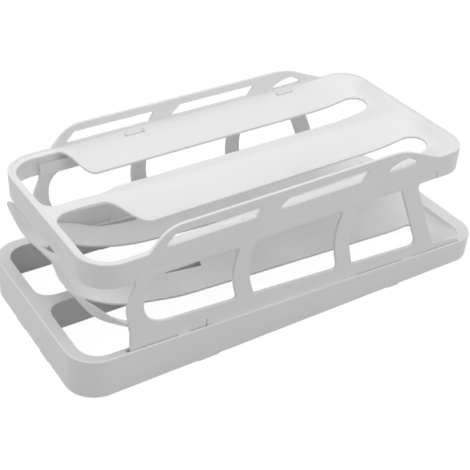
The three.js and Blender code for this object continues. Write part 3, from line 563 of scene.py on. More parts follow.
# %% [markdown]
# ## Bridge, rib, ledges and feet of the base
# At the left the base is open on both sides of a narrow bridge, stiffened by a rib on edge. Both run on
# under the ramp's crest to the lanes' ridge, where they darken the slot in that crest. Low ledges carry the
# ramp's foot, and pads along the lower edge keep the wall off the table. Each is a closed piece that runs a
# little into its neighbour: fusing them would cut up the neighbour's even grid for seams that nobody sees.

# %% Bridge and rib
BRIDGE_HALF, BRIDGE_FILLET = 4.65, 14.0
BRIDGE_LEVEL, BRIDGE_FALL_START, BRIDGE_FALL_END = 27.2, 60.0, 92.0
RIB_WALL, RIB_TOP, RIB_GAP, RIB_BEND = 2.4, 25.8, 2.8, 3.0
LEDGE_LENGTH, LEDGE_RISE = 8.0, 3.0


def spread_end(edge, half, fillet):
    """A quarter bend from a flange's edge into the side of a bridge."""
    return bend([(edge, half + fillet), (edge, half), (edge + fillet, half)], 20)


def make_bridge():
    """A plate in plan that spreads into the flange, laid on the flange's slope and then on its level."""
    start, spread = LEFT_FLANGE - LAP, BRIDGE_HALF + BRIDGE_FILLET
    fillet = spread_end(LEFT_FLANGE, BRIDGE_HALF, BRIDGE_FILLET)
    half = chain(fillet, run(fillet[-1], (LANE_START + 1, BRIDGE_HALF), 40))
    outline = np.concatenate([[(start, spread)], half, half[::-1] * np.array([1, -1]), [(start, -spread)]])

    def lay(points):
        x = points[:, 0]
        level = mix(base_rim(x) - BASE_DROP, BRIDGE_LEVEL, ease(x, BRIDGE_FALL_START, BRIDGE_FALL_END))
        return np.stack([x, points[:, 1], level - SHEET + points[:, 2]], 1)

    return slab("base_tray_bridge", outline, [], SHEET, "base_tray", lay, SOFT_ROUND)


def make_rib():
    """A plate on edge under the bridge, from the left wall to the ridge of the lanes."""
    under = SHEET / 2 + BASE_DROP
    start, end = BASE_WALL / 2, LANE_START + LEDGE_LENGTH
    outline = rounded([
        (start, RIB_GAP, SMALL_ROUND), (end, RIB_GAP, SMALL_ROUND), (end, RIB_TOP, SMALL_ROUND),
        (BRIDGE_FALL_END, RIB_TOP, RIB_BEND),
        (BRIDGE_FALL_START, base_rim(BRIDGE_FALL_START) - under, RIB_BEND),
        (start, RIM_LEFT - under, SMALL_ROUND),
    ], 4)
    place = upright(-RIB_WALL / 2, RIB_WALL / 2)
    return slab("base_tray_rib", outline, [], RIB_WALL, "base_tray", place, SMALL_ROUND)


make_bridge()
make_rib()

# %% Ledges
LEDGES = [(9.0, 14.0), (-14.0, -9.0), (54.0, 66.0), (-66.0, -54.0)]


def make_ledge(number, span):
    """A strip of the W one sheet lower, carried along x from the ledge's tip into the lanes."""
    y = np.linspace(*span, 25)
    x = np.array([LANE_START - LEDGE_LENGTH, LANE_START, LANE_START + LEDGE_RISE])
    low = np.array([SHEET + CLEARANCE, SHEET + CLEARANCE, SHEET / 2])
    grid_x, grid_y = np.meshgrid(x, y, indexing="ij")
    upper = np.stack([grid_x, grid_y, base_top(grid_x, grid_y) - low[:, None]], 2)
    lower = upper[:, ::-1] - np.array([0, 0, SHEET])
    return loft(f"base_tray_ledge_{number}", np.concatenate([upper, lower], 1), "base_tray")


for number, span in enumerate(LEDGES):
    make_ledge(number, span)

# %% Nibs and feet
NIBS = [(77, 87), (283.5, 294)]
NIB_DROP, NIB_GAP, NIB_EDGE = 0.42, 0.06, 0.05
SIDE_FEET = [(94, 111), (272, 283)]
END_FOOT = (13.5, 27.5)
FOOT_WALL, SMALL_EDGE = 2.6, 0.25


def make_nib(side, name, start, end):
    """A small block that fills the pocket in front of the panel, nearly flush with the rim."""
    bottom = base_rim(end) - PANEL_FOOT
    left, right = base_rim(start) - NIB_DROP, base_rim(end) - NIB_DROP
    outline = softened([(start, bottom), (end, bottom), (end, right), (start, left)], SOFT_ROUND)
    place = upright(side * (PANEL_OUTER + NIB_GAP), side * BASE_HALF)
    slab(name, outline, [], POCKET_FRONT, "base_tray", place, NIB_EDGE)


def make_foot(name, low, high, place):
    """A pad that comes out below the wall and reaches up behind it."""
    foot = rectangle(low, high, 0, FOOT_HEIGHT + FOOT_WALL, SMALL_ROUND)
    slab(name, foot, [], FOOT_WALL, "base_tray", place, SMALL_EDGE)


def across_end(x, away):
    """Stands a slab across an end: its outline lies in y and z, and its thickness runs along x."""
    def place(points):
        return np.stack([x + away * points[:, 2], points[:, 0], points[:, 1]], 1)
    return place


for side, side_name in SIDES:
    for number, (start, end) in enumerate(NIBS):
        make_nib(side, f"base_tray_nib_{side_name}_{number}", start, end)
    for number, (start, end) in enumerate(SIDE_FEET):
        place = upright(side * (BASE_HALF - HAIR), 0)
        make_foot(f"base_tray_foot_{side_name}_{number}", start, end, place)
for end_name, x, away in (("left", HAIR, 1), ("right", LENGTH - HAIR, -1)):
    for side, side_name in SIDES:
        low, high = sorted((side * END_FOOT[0], side * END_FOOT[1]))
        make_foot(f"base_tray_foot_{end_name}_{side_name}", low, high, across_end(x, away))

# %% [markdown]
# ## Ramp
# The ramp catches the falling eggs. It is the same W, bent up along a parabola towards its free left end,
# where each lane closes in a shallow bowl with a lip. It draws in at a shoulder, to pass between the base's
# flanges, and a slot runs along its crest. Its edge is free all round, so the band rounds both its sides.

# %% Ramp sizes
RAMP_START, RAMP_END = 11.5, LANE_START - CLEARANCE
RAMP_RISE, RAMP_BEND_END = 39.7, 120.0
RAMP_RIM, RAMP_FOOT_RIM, RAMP_RIDGE = 7.5, 10.7, 8.5
RAMP_HALF, RAMP_CORNER = PANEL_INNER - CLEARANCE, 16.0
RAMP_NOTCH, RAMP_NOTCH_HALF = 5.5, 30.0
RAMP_BOWL, RAMP_BOWL_POWER = 48.0, 3.2
RAMP_SLOT_TIP, RAMP_SLOT_INNER, RAMP_SLOT_OUTER = 30.5, 26.5, 52.5
RAMP_SLOT_DRAW_START, RAMP_SLOT_DRAW_END = 38.0, 95.0
SLANT_CENTRE, SLANT = (50.0, 42.0), (30.0, 38.0)  # centre of the slot's slanting end, and its tip
SLANT_INNER_PULLS = [(28.0, 30.6), (20.0, 32.0)]
SLANT_OUTER_PULLS = [(36.0, 41.6), (36.0, 52.9)]
SHOULDER_START, SHOULDER_END, RAMP_STAND_OFF = 68.0, 86.0, 3.8
RAMP_LIP_REACH, RAMP_LIP_MIDDLE, RAMP_LIP_CORNER, RAMP_LIP_END = 9.0, 2.4, 10.5, 52.0
RAMP_LIP_CORNER_START, RAMP_LIP_CORNER_END = 38.0, 64.0
CREST_START, CREST_HALF, CREST_FOOT_HALF = 92.0, 5.2, 8.0


# %% Ramp in plan
def ramp_edge(x):
    """Half the ramp's width, which draws in at the shoulder."""
    narrow = INNER_HALF - RAMP_STAND_OFF
    return mix(PANEL_INNER, narrow, ease(x, SHOULDER_START, SHOULDER_END)) - CLEARANCE


def ramp_notch(off):
    """How far the left end lies back near the middle, between its two lobes."""
    return RAMP_NOTCH * (1 + np.cos(np.pi * along(off, 0, RAMP_NOTCH_HALF))) / 2


def ramp_left(y):
    """The left end: two lobes with a notch between them and round outer corners."""
    off = np.minimum(np.abs(y), RAMP_HALF)
    into = np.maximum(0, off - (RAMP_HALF - RAMP_CORNER))
    return RAMP_START + ramp_notch(off) + RAMP_CORNER - np.sqrt(np.maximum(0, RAMP_CORNER ** 2 - into ** 2))


def ramp_slot_inner(x):
    """The slot's inner edge, which draws in from the foot towards the slot's slanting tip."""
    return mix(RAMP_SLOT_TIP, SLOT_INNER, ease(x, RAMP_SLOT_DRAW_START, RAMP_SLOT_DRAW_END))


def crest_half(x):
    """Half the width of the slot along the crest: a round tip, then a taper that widens to the foot."""
    width = mix(CREST_HALF, CREST_FOOT_HALF, (x - CREST_START) / (RAMP_END - CREST_START))
    tip = 1 - along(x, CREST_START, CREST_START + CREST_HALF)
    return np.where(x <= CREST_START, 0, width * np.sqrt(1 - tip ** 2))


# %% Ramp in height
def ramp_lip(x, y):
    """The lip along the left end, highest at the corners, which runs out along the sides. It rises with
    the square of how near a place is to the end, the round corner or the side."""
    off, edge = np.abs(y), ramp_edge(x)
    left, beyond = RAMP_START + RAMP_CORNER - x, off - (edge - RAMP_CORNER)
    straight = np.minimum(x - RAMP_START - ramp_notch(off), edge - off)
    into = np.where((left > 0) & (beyond > 0), RAMP_CORNER - np.hypot(left, beyond), straight)
    rise = mix(RAMP_LIP_MIDDLE, RAMP_LIP_CORNER, ease(off, RAMP_LIP_CORNER_START, RAMP_LIP_CORNER_END))
    return rise * (1 - ease(x, RAMP_START, RAMP_LIP_END)) * (1 - along(into, 0, RAMP_LIP_REACH)) ** 2


def ramp_top(x, y):
    """The lanes' line plus a parabola, with the W over it, a soft bowl at the left end and the lip."""
    t = along(x, RAMP_START, RAMP_END)
    line = lane_height(x) + RAMP_RISE * (1 - along(x, RAMP_START, RAMP_BEND_END)) ** 2
    rim = mix(RAMP_RIM, RAMP_FOOT_RIM, t)
    inner, outer = mix(RAMP_SLOT_INNER, SLOT_INNER, t), mix(RAMP_SLOT_OUTER, SLOT_OUTER, t)
    height = lane_profile(y, inner, outer, ramp_edge(x), mix(RAMP_RIDGE, LANE_RIDGE, t), rim)
    left = ramp_left(y)
    bowl = (1 - along(x, left, left + RAMP_BOWL)) ** RAMP_BOWL_POWER
    return line + mix(height, rim, bowl) + ramp_lip(x, y)


def make_ramp():
    """The slot's edge from the foot round the tip and back, and the crest, lobe or side that it faces."""
    turn_x = SLANT_CENTRE[0]
    tip = CREST_START + CREST_HALF * (1 - np.cos(np.linspace(0, np.pi / 2, 14)))[::-1]
    x = chain(run(RAMP_END, tip[0], 23), tip, run(CREST_START, turn_x, 21))
    inner_run = np.stack([x, ramp_slot_inner(x)], 1)
    round_end = chain(bend([inner_run[-1], *SLANT_INNER_PULLS, SLANT], 36),
                      bend([SLANT, *SLANT_OUTER_PULLS, (turn_x, RAMP_SLOT_OUTER)], 36))
    outer_run = run((turn_x, RAMP_SLOT_OUTER), (RAMP_END, SLOT_OUTER), 56)
    y = np.linspace(0, RAMP_HALF, 400)
    left_end = np.stack([ramp_left(y), y], 1)
    path = chain(run((turn_x, 0), left_end[0], 40), left_end, run(left_end[-1], (turn_x, RAMP_HALF), 20))
    sides = np.stack([outer_run[:, 0], ramp_edge(outer_run[:, 0])], 1)
    outer = chain(np.stack([x, crest_half(x)], 1), facing(path, SLANT_CENTRE, round_end), sides)
    rim = np.minimum(EDGE, outer[:, 1] / 4)
    inner = chain(inner_run, round_end, outer_run)
    return band("ramp_sheet", inner, outer, ramp_top, "ramp", rim=rim, rows=36, gather=1.0)


make_ramp()

# %% Ramp pegs
PEG_RADIUS, PEG_START, PEG_END, PEG_SIDE = 1.8, 127.5, 152.5, 20.0
PEG_CHAMFER = 0.4
PEG_TIP = np.linspace(0.2, 1.55, 7)  # angles of the rings on the rounded tip


def make_peg(side, side_name):
    """A round peg under the base's lane: rings along its axis that shrink to a rounded tip, and a web
    that joins it to the ramp."""
    straight_end = PEG_END - PEG_RADIUS
    x = np.concatenate([[PEG_START], np.linspace(PEG_START + PEG_CHAMFER, straight_end, 6),
                        straight_end + PEG_RADIUS * np.sin(PEG_TIP)])
    first = PEG_RADIUS - PEG_CHAMFER
    size = np.concatenate([[first], np.full(6, PEG_RADIUS), PEG_RADIUS * np.cos(PEG_TIP)])
    turn = np.linspace(0, 2 * np.pi, 25)[:-1]
    level = base_top(x, np.full(len(x), PEG_SIDE)) - SHEET - CLEARANCE - PEG_RADIUS
    y = side * PEG_SIDE + size[:, None] * np.cos(turn)
    z = level[:, None] + size[:, None] * np.sin(turn)
    loft(f"ramp_peg_{side_name}", np.stack([np.broadcast_to(x[:, None], y.shape), y, z], 2), "ramp")
    web_end = RAMP_END - LEDGE_LENGTH
    web_top = float(ramp_top(web_end, PEG_SIDE)) - SHEET / 2
    web = rectangle(PEG_START, web_end, level[0], web_top, SOFT_ROUND)
    place = upright(side * (PEG_SIDE + PEG_RADIUS / 2), 0)
    slab(f"ramp_web_{side_name}", web, [], PEG_RADIUS, "ramp", place, TINY_ROUND)


for side, side_name in SIDES:
    make_peg(side, side_name)

# %% [markdown]
# ## Upper tray
# The upper tray is made flat in its own frame, with its rim at height zero, and then tilted by about one
# degree, so that eggs roll left. Its skirt steps in behind the side panels, and its lanes open into two
# drop holes at the left. Tilting the finished points is simpler than putting the tilt into every formula.

# %% Tray sizes
TRAY_INSET, TRAY_LENGTH, TRAY_HALF = 12.0, 325.4, TRAY_WIDTH / 2
TRAY_RIM_LEFT, TRAY_RISE = 107.1, 5.9
TILT = math.asin(TRAY_RISE / TRAY_LENGTH)
TRAY_LEFT_CORNER, TRAY_RIGHT_CORNER = 25.0, 22.0
TRAY_FLANGE, TRAY_DROP = 6.0, 1.8
TRAY_INNER_HALF = TRAY_HALF - TRAY_FLANGE
SKIRT, SKIRT_MIDDLE, SKIRT_ROUND = 19.7, 0.12, 0.4
LANE_DEPTH, RIDGE_DEPTH, BRIDGE_DEPTH = 14.7, 4.0, 1.0
TRAY_BRIDGE_HALF, TRAY_BRIDGE_FILLET = 5.2, 12.0
RIDGE_FALL_START, RIDGE_FALL_END, FLAT_END = 25.0, 105.0, 60.0
TRAY_SLOT_END = 311.0
BOWL_INSET, BOWL_TOP, BOWL_LENGTH = 3.1, 1.2, 60.2
BOWL_STEEP_START, BOWL_SLOPE = 0.8, 3.2
BOWL_END, BOWL_HALF = TRAY_LENGTH - BOWL_INSET, TRAY_HALF - BOWL_INSET
BOWL_CORNER = TRAY_RIGHT_CORNER - BOWL_INSET
SPINE_START, SPINE_END, WING_START, WING_END, PULL = 43.0, 73.0, 43.5, 67.5, 12.0
RECESS_START, RECESS_END, RECESS_TOP, RECESS_ROUND, BAND_END_ROUND = 31.0, 292.0, 12.3, 7.0, 2.0
CLIP_WINDOWS, CLIP_WIDTH = [(100.5, 117.0), (242.5, 258.0)], 3.0
CLIP_OUT = TRAY_HALF - WALL * 2 - CLEARANCE
HOOK_SIDE = 0.6  # gap at each end of a hook in its window


def from_tray(points):
    """Turns the tray's own frame by the tilt about y and moves it to its place."""
    x, y, z = points[:, 0], points[:, 1], points[:, 2]
    cosine, sine = math.cos(TILT), math.sin(TILT)
    return np.stack([TRAY_INSET + x * cosine - z * sine, y, TRAY_RIM_LEFT + x * sine + z * cosine], 1)


# %% Tray rim
PLAIN_JOG, NOTCH_DEPTH = 9.0, 16.2
STEP_IN, STEP_OUT = RECESS_START - CLEARANCE, RECESS_END + CLEARANCE
LEFT_ROUND_STEPS = np.array([0.3, 0.8, 1.5, 2.5, 3.8, 5.3])
RIGHT_ROUND_STEPS = np.array([0.2, 0.6, 1.2, 2.3])
TRAY_STATIONS = np.linspace(40, 300, 27)
TRAY_LIP = [(2.0, -0.1), (2.3, -0.2), (2.6, -0.9), (3.0, -1.05)]  # insets and heights of the narrow lip
# the flange's width where only the lip is left, and how far from the tray's end it starts to narrow
TRAY_LIP_FLANGE, TRAY_LIP_EASE = 3.8, 40.0
TRAY_EDGE_SHARE, TRAY_EDGE_DROP, TRAY_UNDER = 0.95, 0.1, 0.6


def recess_top(x):
    """Lower edge of the outer wall over the panel: level, with a rounded corner at each end."""
    def corner(radius, beyond):
        into = np.clip(radius - beyond, 0, radius)
        return radius - np.sqrt(radius ** 2 - into ** 2)
    left = corner(RECESS_ROUND + CLEARANCE, x - RECESS_START + CLEARANCE)
    right = corner(BAND_END_ROUND + CLEARANCE, RECESS_END + CLEARANCE - x)
    return CLEARANCE - RECESS_TOP - left - right


def make_tray_rim():
    """The section's rows, from the skirt's foot up over the rim, in under the flange and down again."""
    fine = list(STEP_IN + LEFT_ROUND_STEPS) + list(STEP_OUT - RIGHT_ROUND_STEPS)
    notches = [(a + HOOK_SIDE - CLEARANCE, b - HOOK_SIDE + CLEARANCE) for a, b in CLIP_WINDOWS]
    steps = [STEP_IN, STEP_OUT] + [place for window in CLIP_WINDOWS + notches for place in window]
    places = sorted(pairs(steps) + fine + list(TRAY_STATIONS))
    shares = shares_of(places, 0, TRAY_LENGTH, TRAY_LEFT_CORNER, TRAY_RIGHT_CORNER)
    outer, inward = around_tray(0, TRAY_LENGTH, TRAY_HALF, TRAY_LEFT_CORNER, TRAY_RIGHT_CORNER, shares)
    x = outer[:, 0]

    def within(spans):
        return on_side(inward) & np.any([(x > low) & (x < high) for low, high in spans], axis=0)

    recess = within([(STEP_IN, STEP_OUT)])
    step = np.where(recess, WALL + CLEARANCE, 0.0)
    jog = np.where(recess, recess_top(np.clip(x, STEP_IN, STEP_OUT)), -PLAIN_JOG)
    shelf = np.where(recess, np.maximum(jog, -RECESS_TOP) + WALL, -PLAIN_JOG + WALL)
    narrowed = ease(x, TRAY_LENGTH - TRAY_LIP_EASE, TRAY_LENGTH - TRAY_RIGHT_CORNER)
    flange = mix(TRAY_FLANGE, TRAY_LIP_FLANGE, narrowed)
    flange = np.where(within(CLIP_WINDOWS), WALL * 2 + CLEARANCE, flange)
    bottom = np.where(within(notches), -NOTCH_DEPTH, -SKIRT)

    def at(inset, height):
        plan = outer + inward * np.broadcast_to(inset, x.shape)[:, None]
        return with_height(plan, height)

    foot = [(SKIRT_ROUND, 0), (SKIRT_MIDDLE, SKIRT_MIDDLE), (0, SKIRT_ROUND)]
    rows = [at(step + inset, bottom + height) for inset, height in foot]
    rows += [at(step, jog), at(0, jog)]
    rows += [at(inset, -drop) for inset, drop in TOP_ARC]
    rows += [at(inset, height) for inset, height in TRAY_LIP]
    rows += [at(flange - SKIRT_ROUND, -TRAY_DROP * TRAY_EDGE_SHARE)]
    rows += [at(flange - SKIRT_MIDDLE, -TRAY_DROP - TRAY_EDGE_DROP)]
    rows += [at(flange, -TRAY_DROP - SKIRT_ROUND), at(flange, SKIRT_ROUND - TRAY_DROP - SHEET)]
    rows += [at(flange - SKIRT_ROUND, -TRAY_DROP - SHEET), at(WALL, -SHEET - TRAY_UNDER)]
    rows += [at(WALL, shelf), at(WALL + step, shelf)]
    rows += [at(WALL + step - inset, bottom + height) for inset, height in foot[::-1]]
    return loft("upper_tray_rim", np.stack(rows, 1), "upper_tray", True, from_tray)


make_tray_rim()


# %% Tray lanes
def tray_top(x, y):
    """The W below the rim, flattened to the bridge's level at the left and risen in the bowl at the right,
    whose last part is straight and steep."""
    depth = mix(BRIDGE_DEPTH, RIDGE_DEPTH, ease(x, RIDGE_FALL_START, RIDGE_FALL_END))
    rim = LANE_DEPTH - TRAY_DROP
    profile = lane_profile(y, SLOT_INNER, SLOT_OUTER, TRAY_INNER_HALF, LANE_DEPTH - depth, rim)
    profile = np.where(np.abs(y) > TRAY_INNER_HALF, rim, profile)
    flat = mix(-TRAY_DROP, -BRIDGE_DEPTH, ease(x, 0, RIDGE_FALL_START))
    shaped = mix(flat, profile - LANE_DEPTH, ease(x, RIDGE_FALL_START, FLAT_END))
    left = along(rounded_end(y, BOWL_END, BOWL_HALF, BOWL_CORNER) - x, 0, BOWL_LENGTH)
    rise = bowl_rise(x, y, BOWL_LENGTH, BOWL_END, BOWL_HALF, BOWL_CORNER)
    rise = mix(rise, 1 - BOWL_SLOPE * left, ease(1 - left, BOWL_STEEP_START, 1))
    return mix(shaped, -BOWL_TOP, rise)


def make_tray_lanes():
    """The edge from the bridge along the drop hole's spine, round the slot and back along the wing."""
    inner, outer = lane_curves(SPINE_END, BOWL_END, TRAY_SLOT_END, BOWL_HALF, BOWL_CORNER)
    under = TRAY_FLANGE - LAP
    fillet = spread_end(TRAY_FLANGE, TRAY_BRIDGE_HALF, TRAY_BRIDGE_FILLET)
    spread, fillet_end = fillet[0, 1], fillet[-1, 0]
    bridge = run((fillet_end, TRAY_BRIDGE_HALF), (SPINE_START, TRAY_BRIDGE_HALF), 8)
    spine = bend([(SPINE_START, TRAY_BRIDGE_HALF), (SPINE_START + PULL, TRAY_BRIDGE_HALF),
                  (SPINE_END - PULL, SLOT_INNER), (SPINE_END, SLOT_INNER)], 32)
    wing = bend([(WING_END, SLOT_OUTER), (WING_END - PULL, SLOT_OUTER),
                 (WING_START + PULL, TRAY_INNER_HALF), (WING_START, TRAY_INNER_HALF)], 32)
    fillet_faced = chain(run((under, spread), (under, 0), 10), run((under, 0), (fillet_end, 0), 10))
    left_faced = chain(fillet_faced, bridge * np.array([1, 0]), spine * np.array([1, 0]))
    right = chain(run((SPINE_END, SLOT_OUTER), (WING_END, SLOT_OUTER), 2), wing)
    right_faced = np.stack([right[:, 0], np.full(len(right), BOWL_HALF + LAP)], 1)
    inner = chain(fillet, bridge, spine, inner, right)
    outer = chain(left_faced, outer, right_faced)
    return band("upper_tray_lanes", inner, outer, tray_top, "upper_tray", to_dispenser=from_tray)


tray_lanes = make_tray_lanes()

# %% Clip windows
CUT_HEIGHTS = (-9.0, 1.0)


def boxes(spans):
    """Corners and outward faces of some boxes, each given by its spans in x, y and z."""
    points = np.array([[[x, y, z] for z in span[2] for y in span[1] for x in span[0]] for span in spans])
    box = np.array([[0, 2, 3, 1], [4, 5, 7, 6], [0, 1, 5, 4], [2, 6, 7, 3], [0, 4, 6, 2], [1, 3, 7, 5]])
    faces = box[None] + 8 * np.arange(len(spans))[:, None, None]
    return points.reshape(-1, 3), faces.reshape(-1, 4)


def cut_windows(piece):
    """Cuts the four windows through the sheet, where the panels' hooks come up. A rectangle doesn't fit
    the lanes' grid, so one Boolean does it, and its result becomes the mesh at once."""
    sides = [(CLIP_OUT - CLIP_WIDTH, CLIP_OUT), (-CLIP_OUT, CLIP_WIDTH - CLIP_OUT)]
    points, faces = boxes([(window, side, CUT_HEIGHTS) for window in CLIP_WINDOWS for side in sides])
    mesh = bpy.data.meshes.new("cutter")
    mesh.from_pydata(to_metres(from_tray(points)), [], faces.tolist())
    cutter = add_object("cutter", mesh)
    piece.modifiers.clear()
    boolean = piece.modifiers.new("windows", "BOOLEAN")
    boolean.operation, boolean.solver, boolean.object = "DIFFERENCE", "EXACT", cutter
    cut = bpy.data.meshes.new_from_object(piece.evaluated_get(bpy.context.evaluated_depsgraph_get()))
    piece.modifiers.clear()
    piece.data = cut
    bpy.data.objects.remove(cutter)
    smooth(piece)
    print("with its windows cut,", piece.name, "has", len(cut.polygons), "faces")


cut_windows(tray_lanes)

# %% [markdown]
# ## Egg guards
# A low guard stands on each long side of the upper tray, so that eggs can't roll over the edge. It is a
# plate with slanting ends and three windows. The windows are written as shares of the guard's length, so
# they keep their places in it if the guard grows.

# %% Guards
GUARD_START, GUARD_END, GUARD_HEIGHT = 41.5, 291.0, 15.49
GUARD_LENGTH = GUARD_END - GUARD_START
GUARD_LEFT_RUN, GUARD_RIGHT_RUN = 15.0, 37.0
GUARD_LEFT_ROUND, GUARD_RIGHT_ROUND, GUARD_FOOT_ROUND, GUARD_EDGE = 24.0, 60.0, 0.6, 0.6
GUARD_TOE, GUARD_TOE_DROP, GUARD_TOE_ROUND = 6.0, 1.2, 20.0
GUARD_SILL, GUARD_HEAD, GUARD_ROUND, GUARD_ROOT = 0.8, 8.9, 1.6, 3.0
GUARD_SHARES = [(0.046, 0.078, 0.35, 0.331), (0.405, 0.444, 0.727, 0.699)]
GUARD_END_SHARES = [(0.792, 0.05), (0.817, 0.32), (0.847, 0.46), (0.873, 0.52), (0.923, 0.08)]


def guard_window(corners):
    """A window over corners given as shares of the guard's length, with their heights."""
    places = [(GUARD_START + share * GUARD_LENGTH, height) for share, height in corners]
    return softened(places, GUARD_ROUND, 8)


def make_guard(side, side_name):
    """A plate on the rim, which fades into it at the right in a long toe."""
    outline = rounded([
        (GUARD_START, -GUARD_ROOT, 0), (GUARD_START, 0, GUARD_FOOT_ROUND),
        (GUARD_START + GUARD_LEFT_RUN, GUARD_HEIGHT, GUARD_LEFT_ROUND),
        (GUARD_END - GUARD_RIGHT_RUN, GUARD_HEIGHT, GUARD_RIGHT_ROUND),
        (GUARD_END, 0, GUARD_TOE_ROUND), (GUARD_END + GUARD_TOE, -GUARD_TOE_DROP, 0),
        (GUARD_END + GUARD_TOE, -GUARD_ROOT, 0),
    ], 12)
    heights = (GUARD_SILL, GUARD_HEAD, GUARD_HEAD, GUARD_SILL)
    windows = [guard_window(zip(shares, heights)) for shares in GUARD_SHARES]
    windows.append(guard_window([(share, high * GUARD_HEIGHT) for share, high in GUARD_END_SHARES]))
    stand = upright(side * (TRAY_HALF - HAIR), 0)
    slab(f"upper_tray_guard_{side_name}", outline, windows, WALL - HAIR, "upper_tray",
         lambda points: from_tray(stand(points)), GUARD_EDGE)


for side, side_name in SIDES:
    make_guard(side, side_name)

# %% [markdown]
# ## Side panels
# The panels carry the upper tray. Their posts lean and bow like the ribs of a boat, so each window's sides
# are bends through three corners. Hooks on the band reach under the skirt and snap over its ledge. Heights
# are shares of the way between the two trays, so that a panel always meets both.

# %% Panel lines
PANEL_START, PANEL_END, PANEL_EDGE = 39.7, 346.0, 0.85
LEG_BOW, LEG_WAIST_ROUND, LEG_KNEE_ROUND = 4.1, 28.0, 75.0
LEG_KNEE_SHARE, LEG_WAIST_SHARE = 0.3, 0.6
NECK_DROP, NECK_ROUND = 4.0, 18.0
POST_SHARES = [(0.2977, 0.302), (0.5888, 0.599)]
POST_TOP, POST_FOOT, POST_BOW, POST_ROUND, POST_WAIST_SHARE = 12.4, 15.0, 6.7, 58.0, 0.57
WINDOW_START, WINDOW_TOP_ROUND, WINDOW_FOOT_ROUND, WINDOW_ROUND = 50.0, 20.0, 22.0, 3.0
RIGHT_LEG_TOP, RIGHT_LEG_FOOT, RIGHT_LEG_WIDTH, RIGHT_LEG_ROUND = 286.0, 315.6, 16.3, 5.0
LOW_BAND_LEFT, LOW_BAND_RIGHT = 17.0, 10.5
STUB_LEFT, STUB_RIGHT = 5.7, 3.2
SLIT, SLIT_WIDTH, SLIT_HEIGHT = 100.2, 0.7, 4.8


def tray_line(x, drop):
    """Height of a line that runs along the tray, drop below its rim, at the dispenser's x."""
    point = from_tray(np.array([[0.0, 0.0, -drop]]))[0]
    return point[2] + (x - point[0]) * math.tan(TILT)


def low_band(x):
    """Height of the low band's upper edge, which tapers to the right."""
    taper = (x - WINDOW_START) / (RIGHT_LEG_TOP - WINDOW_START)
    return base_rim(x) + mix(LOW_BAND_LEFT, LOW_BAND_RIGHT, taper)


def at_skirt(x, radius=WINDOW_ROUND):
    """A corner level with the skirt's lower edge."""
    return (x, tray_line(x, SKIRT), radius)


def at_band(x, radius=WINDOW_ROUND):
    """A corner on the low band."""
    return (x, low_band(x), radius)


def at_rim(x, height, radius=WINDOW_ROUND):
    """A corner some height over the base's rim, or below it in the pocket."""
    return (x, base_rim(x) + height, radius)


def at_share(x, share, radius):
    """A corner at a share of the way from the base's rim to the panel's top edge."""
    return (x, mix(base_rim(x), tray_line(x, RECESS_TOP), share), radius)


def post_edge(shares, side):
    """One side of a post: corners at its top, its waist and its foot."""
    top = mix(PANEL_START, PANEL_END, shares[0]) + side * POST_TOP / 2
    foot = mix(PANEL_START, PANEL_END, shares[1]) + side * POST_FOOT / 2
    waist = (top + foot) / 2 - POST_BOW
    return [at_skirt(top), at_share(waist, POST_WAIST_SHARE, POST_ROUND), at_band(foot)]


def right_leg(height):
    """Left edge of the slanting leg at a height."""
    top = tray_line(RIGHT_LEG_TOP, SKIRT)
    t = (top - height) / (top - base_rim(RIGHT_LEG_FOOT) - STUB_LEFT)
    return mix(RIGHT_LEG_TOP, RIGHT_LEG_FOOT, t) - RIGHT_LEG_WIDTH


# %% Panel outlines
def panel_windows():
    """Three openings: the first with a wide soft left side, the last against the slanting leg."""
    leg_top = right_leg(tray_line(RIGHT_LEG_TOP, SKIRT))
    leg_foot = right_leg(low_band(RIGHT_LEG_TOP))
    first, second = POST_SHARES
    start = [at_band(WINDOW_START, WINDOW_FOOT_ROUND), at_skirt(WINDOW_START, WINDOW_TOP_ROUND)]
    return [rounded(corners, 14) for corners in (
        start + post_edge(first, -1),
        post_edge(first, 1)[::-1] + post_edge(second, -1),
        post_edge(second, 1)[::-1] + [at_skirt(leg_top), at_band(leg_foot, RIGHT_LEG_ROUND)],
    )]


def panel_outline():
    """The panel's edge, from its foot in the base's pocket up the bowed leg and round."""
    left, right = from_tray(np.array([[RECESS_START, 0, -RECESS_TOP], [RECESS_END, 0, -RECESS_TOP]]))
    slit_end, slit_top = SLIT + SLIT_WIDTH, base_rim(SLIT) + SLIT_HEIGHT
    waist = at_share(PANEL_START, LEG_WAIST_SHARE, LEG_WAIST_ROUND)
    return rounded([
        at_rim(PANEL_START, -PANEL_FOOT),
        at_share(PANEL_START, LEG_KNEE_SHARE, LEG_KNEE_ROUND), (waist[0] - LEG_BOW, *waist[1:]),
        (left[0], tray_line(left[0], SKIRT) - NECK_DROP, NECK_ROUND), (left[0], left[2], RECESS_ROUND),
        (right[0], right[2], BAND_END_ROUND), at_skirt(right[0], BAND_END_ROUND),
        at_skirt(RIGHT_LEG_TOP), at_rim(RIGHT_LEG_FOOT, STUB_LEFT),
        at_rim(PANEL_END, STUB_RIGHT, BAND_END_ROUND), at_rim(PANEL_END, -PANEL_FOOT),
        at_rim(slit_end, -PANEL_FOOT, TINY_ROUND),
        (slit_end, slit_top, SOFT_ROUND), (SLIT, slit_top, SOFT_ROUND),
        at_rim(SLIT, -PANEL_FOOT, TINY_ROUND),
    ], 14)


# %% Hooks and lugs
HOOK_ARM, HOOK_LOW, HOOK_TONGUE, HOOK_TOP = 2.2, 1.0, 2.3, 1.9
HOOK_HEAD, HEAD_HEIGHT, HEAD_FOOT = 0.24, 1.2, 1.6
HEEL_ROUND, HOOK_BEND, HEAD_CORNER = 0.8, 0.6, 0.15
BARB_HEIGHT, BARB_REACH, ROOT = 3.0, 1.2, 0.8
LUG_START, LUG_END, LUG_REACH, LUG_HEIGHT = 41.0, 48.0, 3.3, 2.6


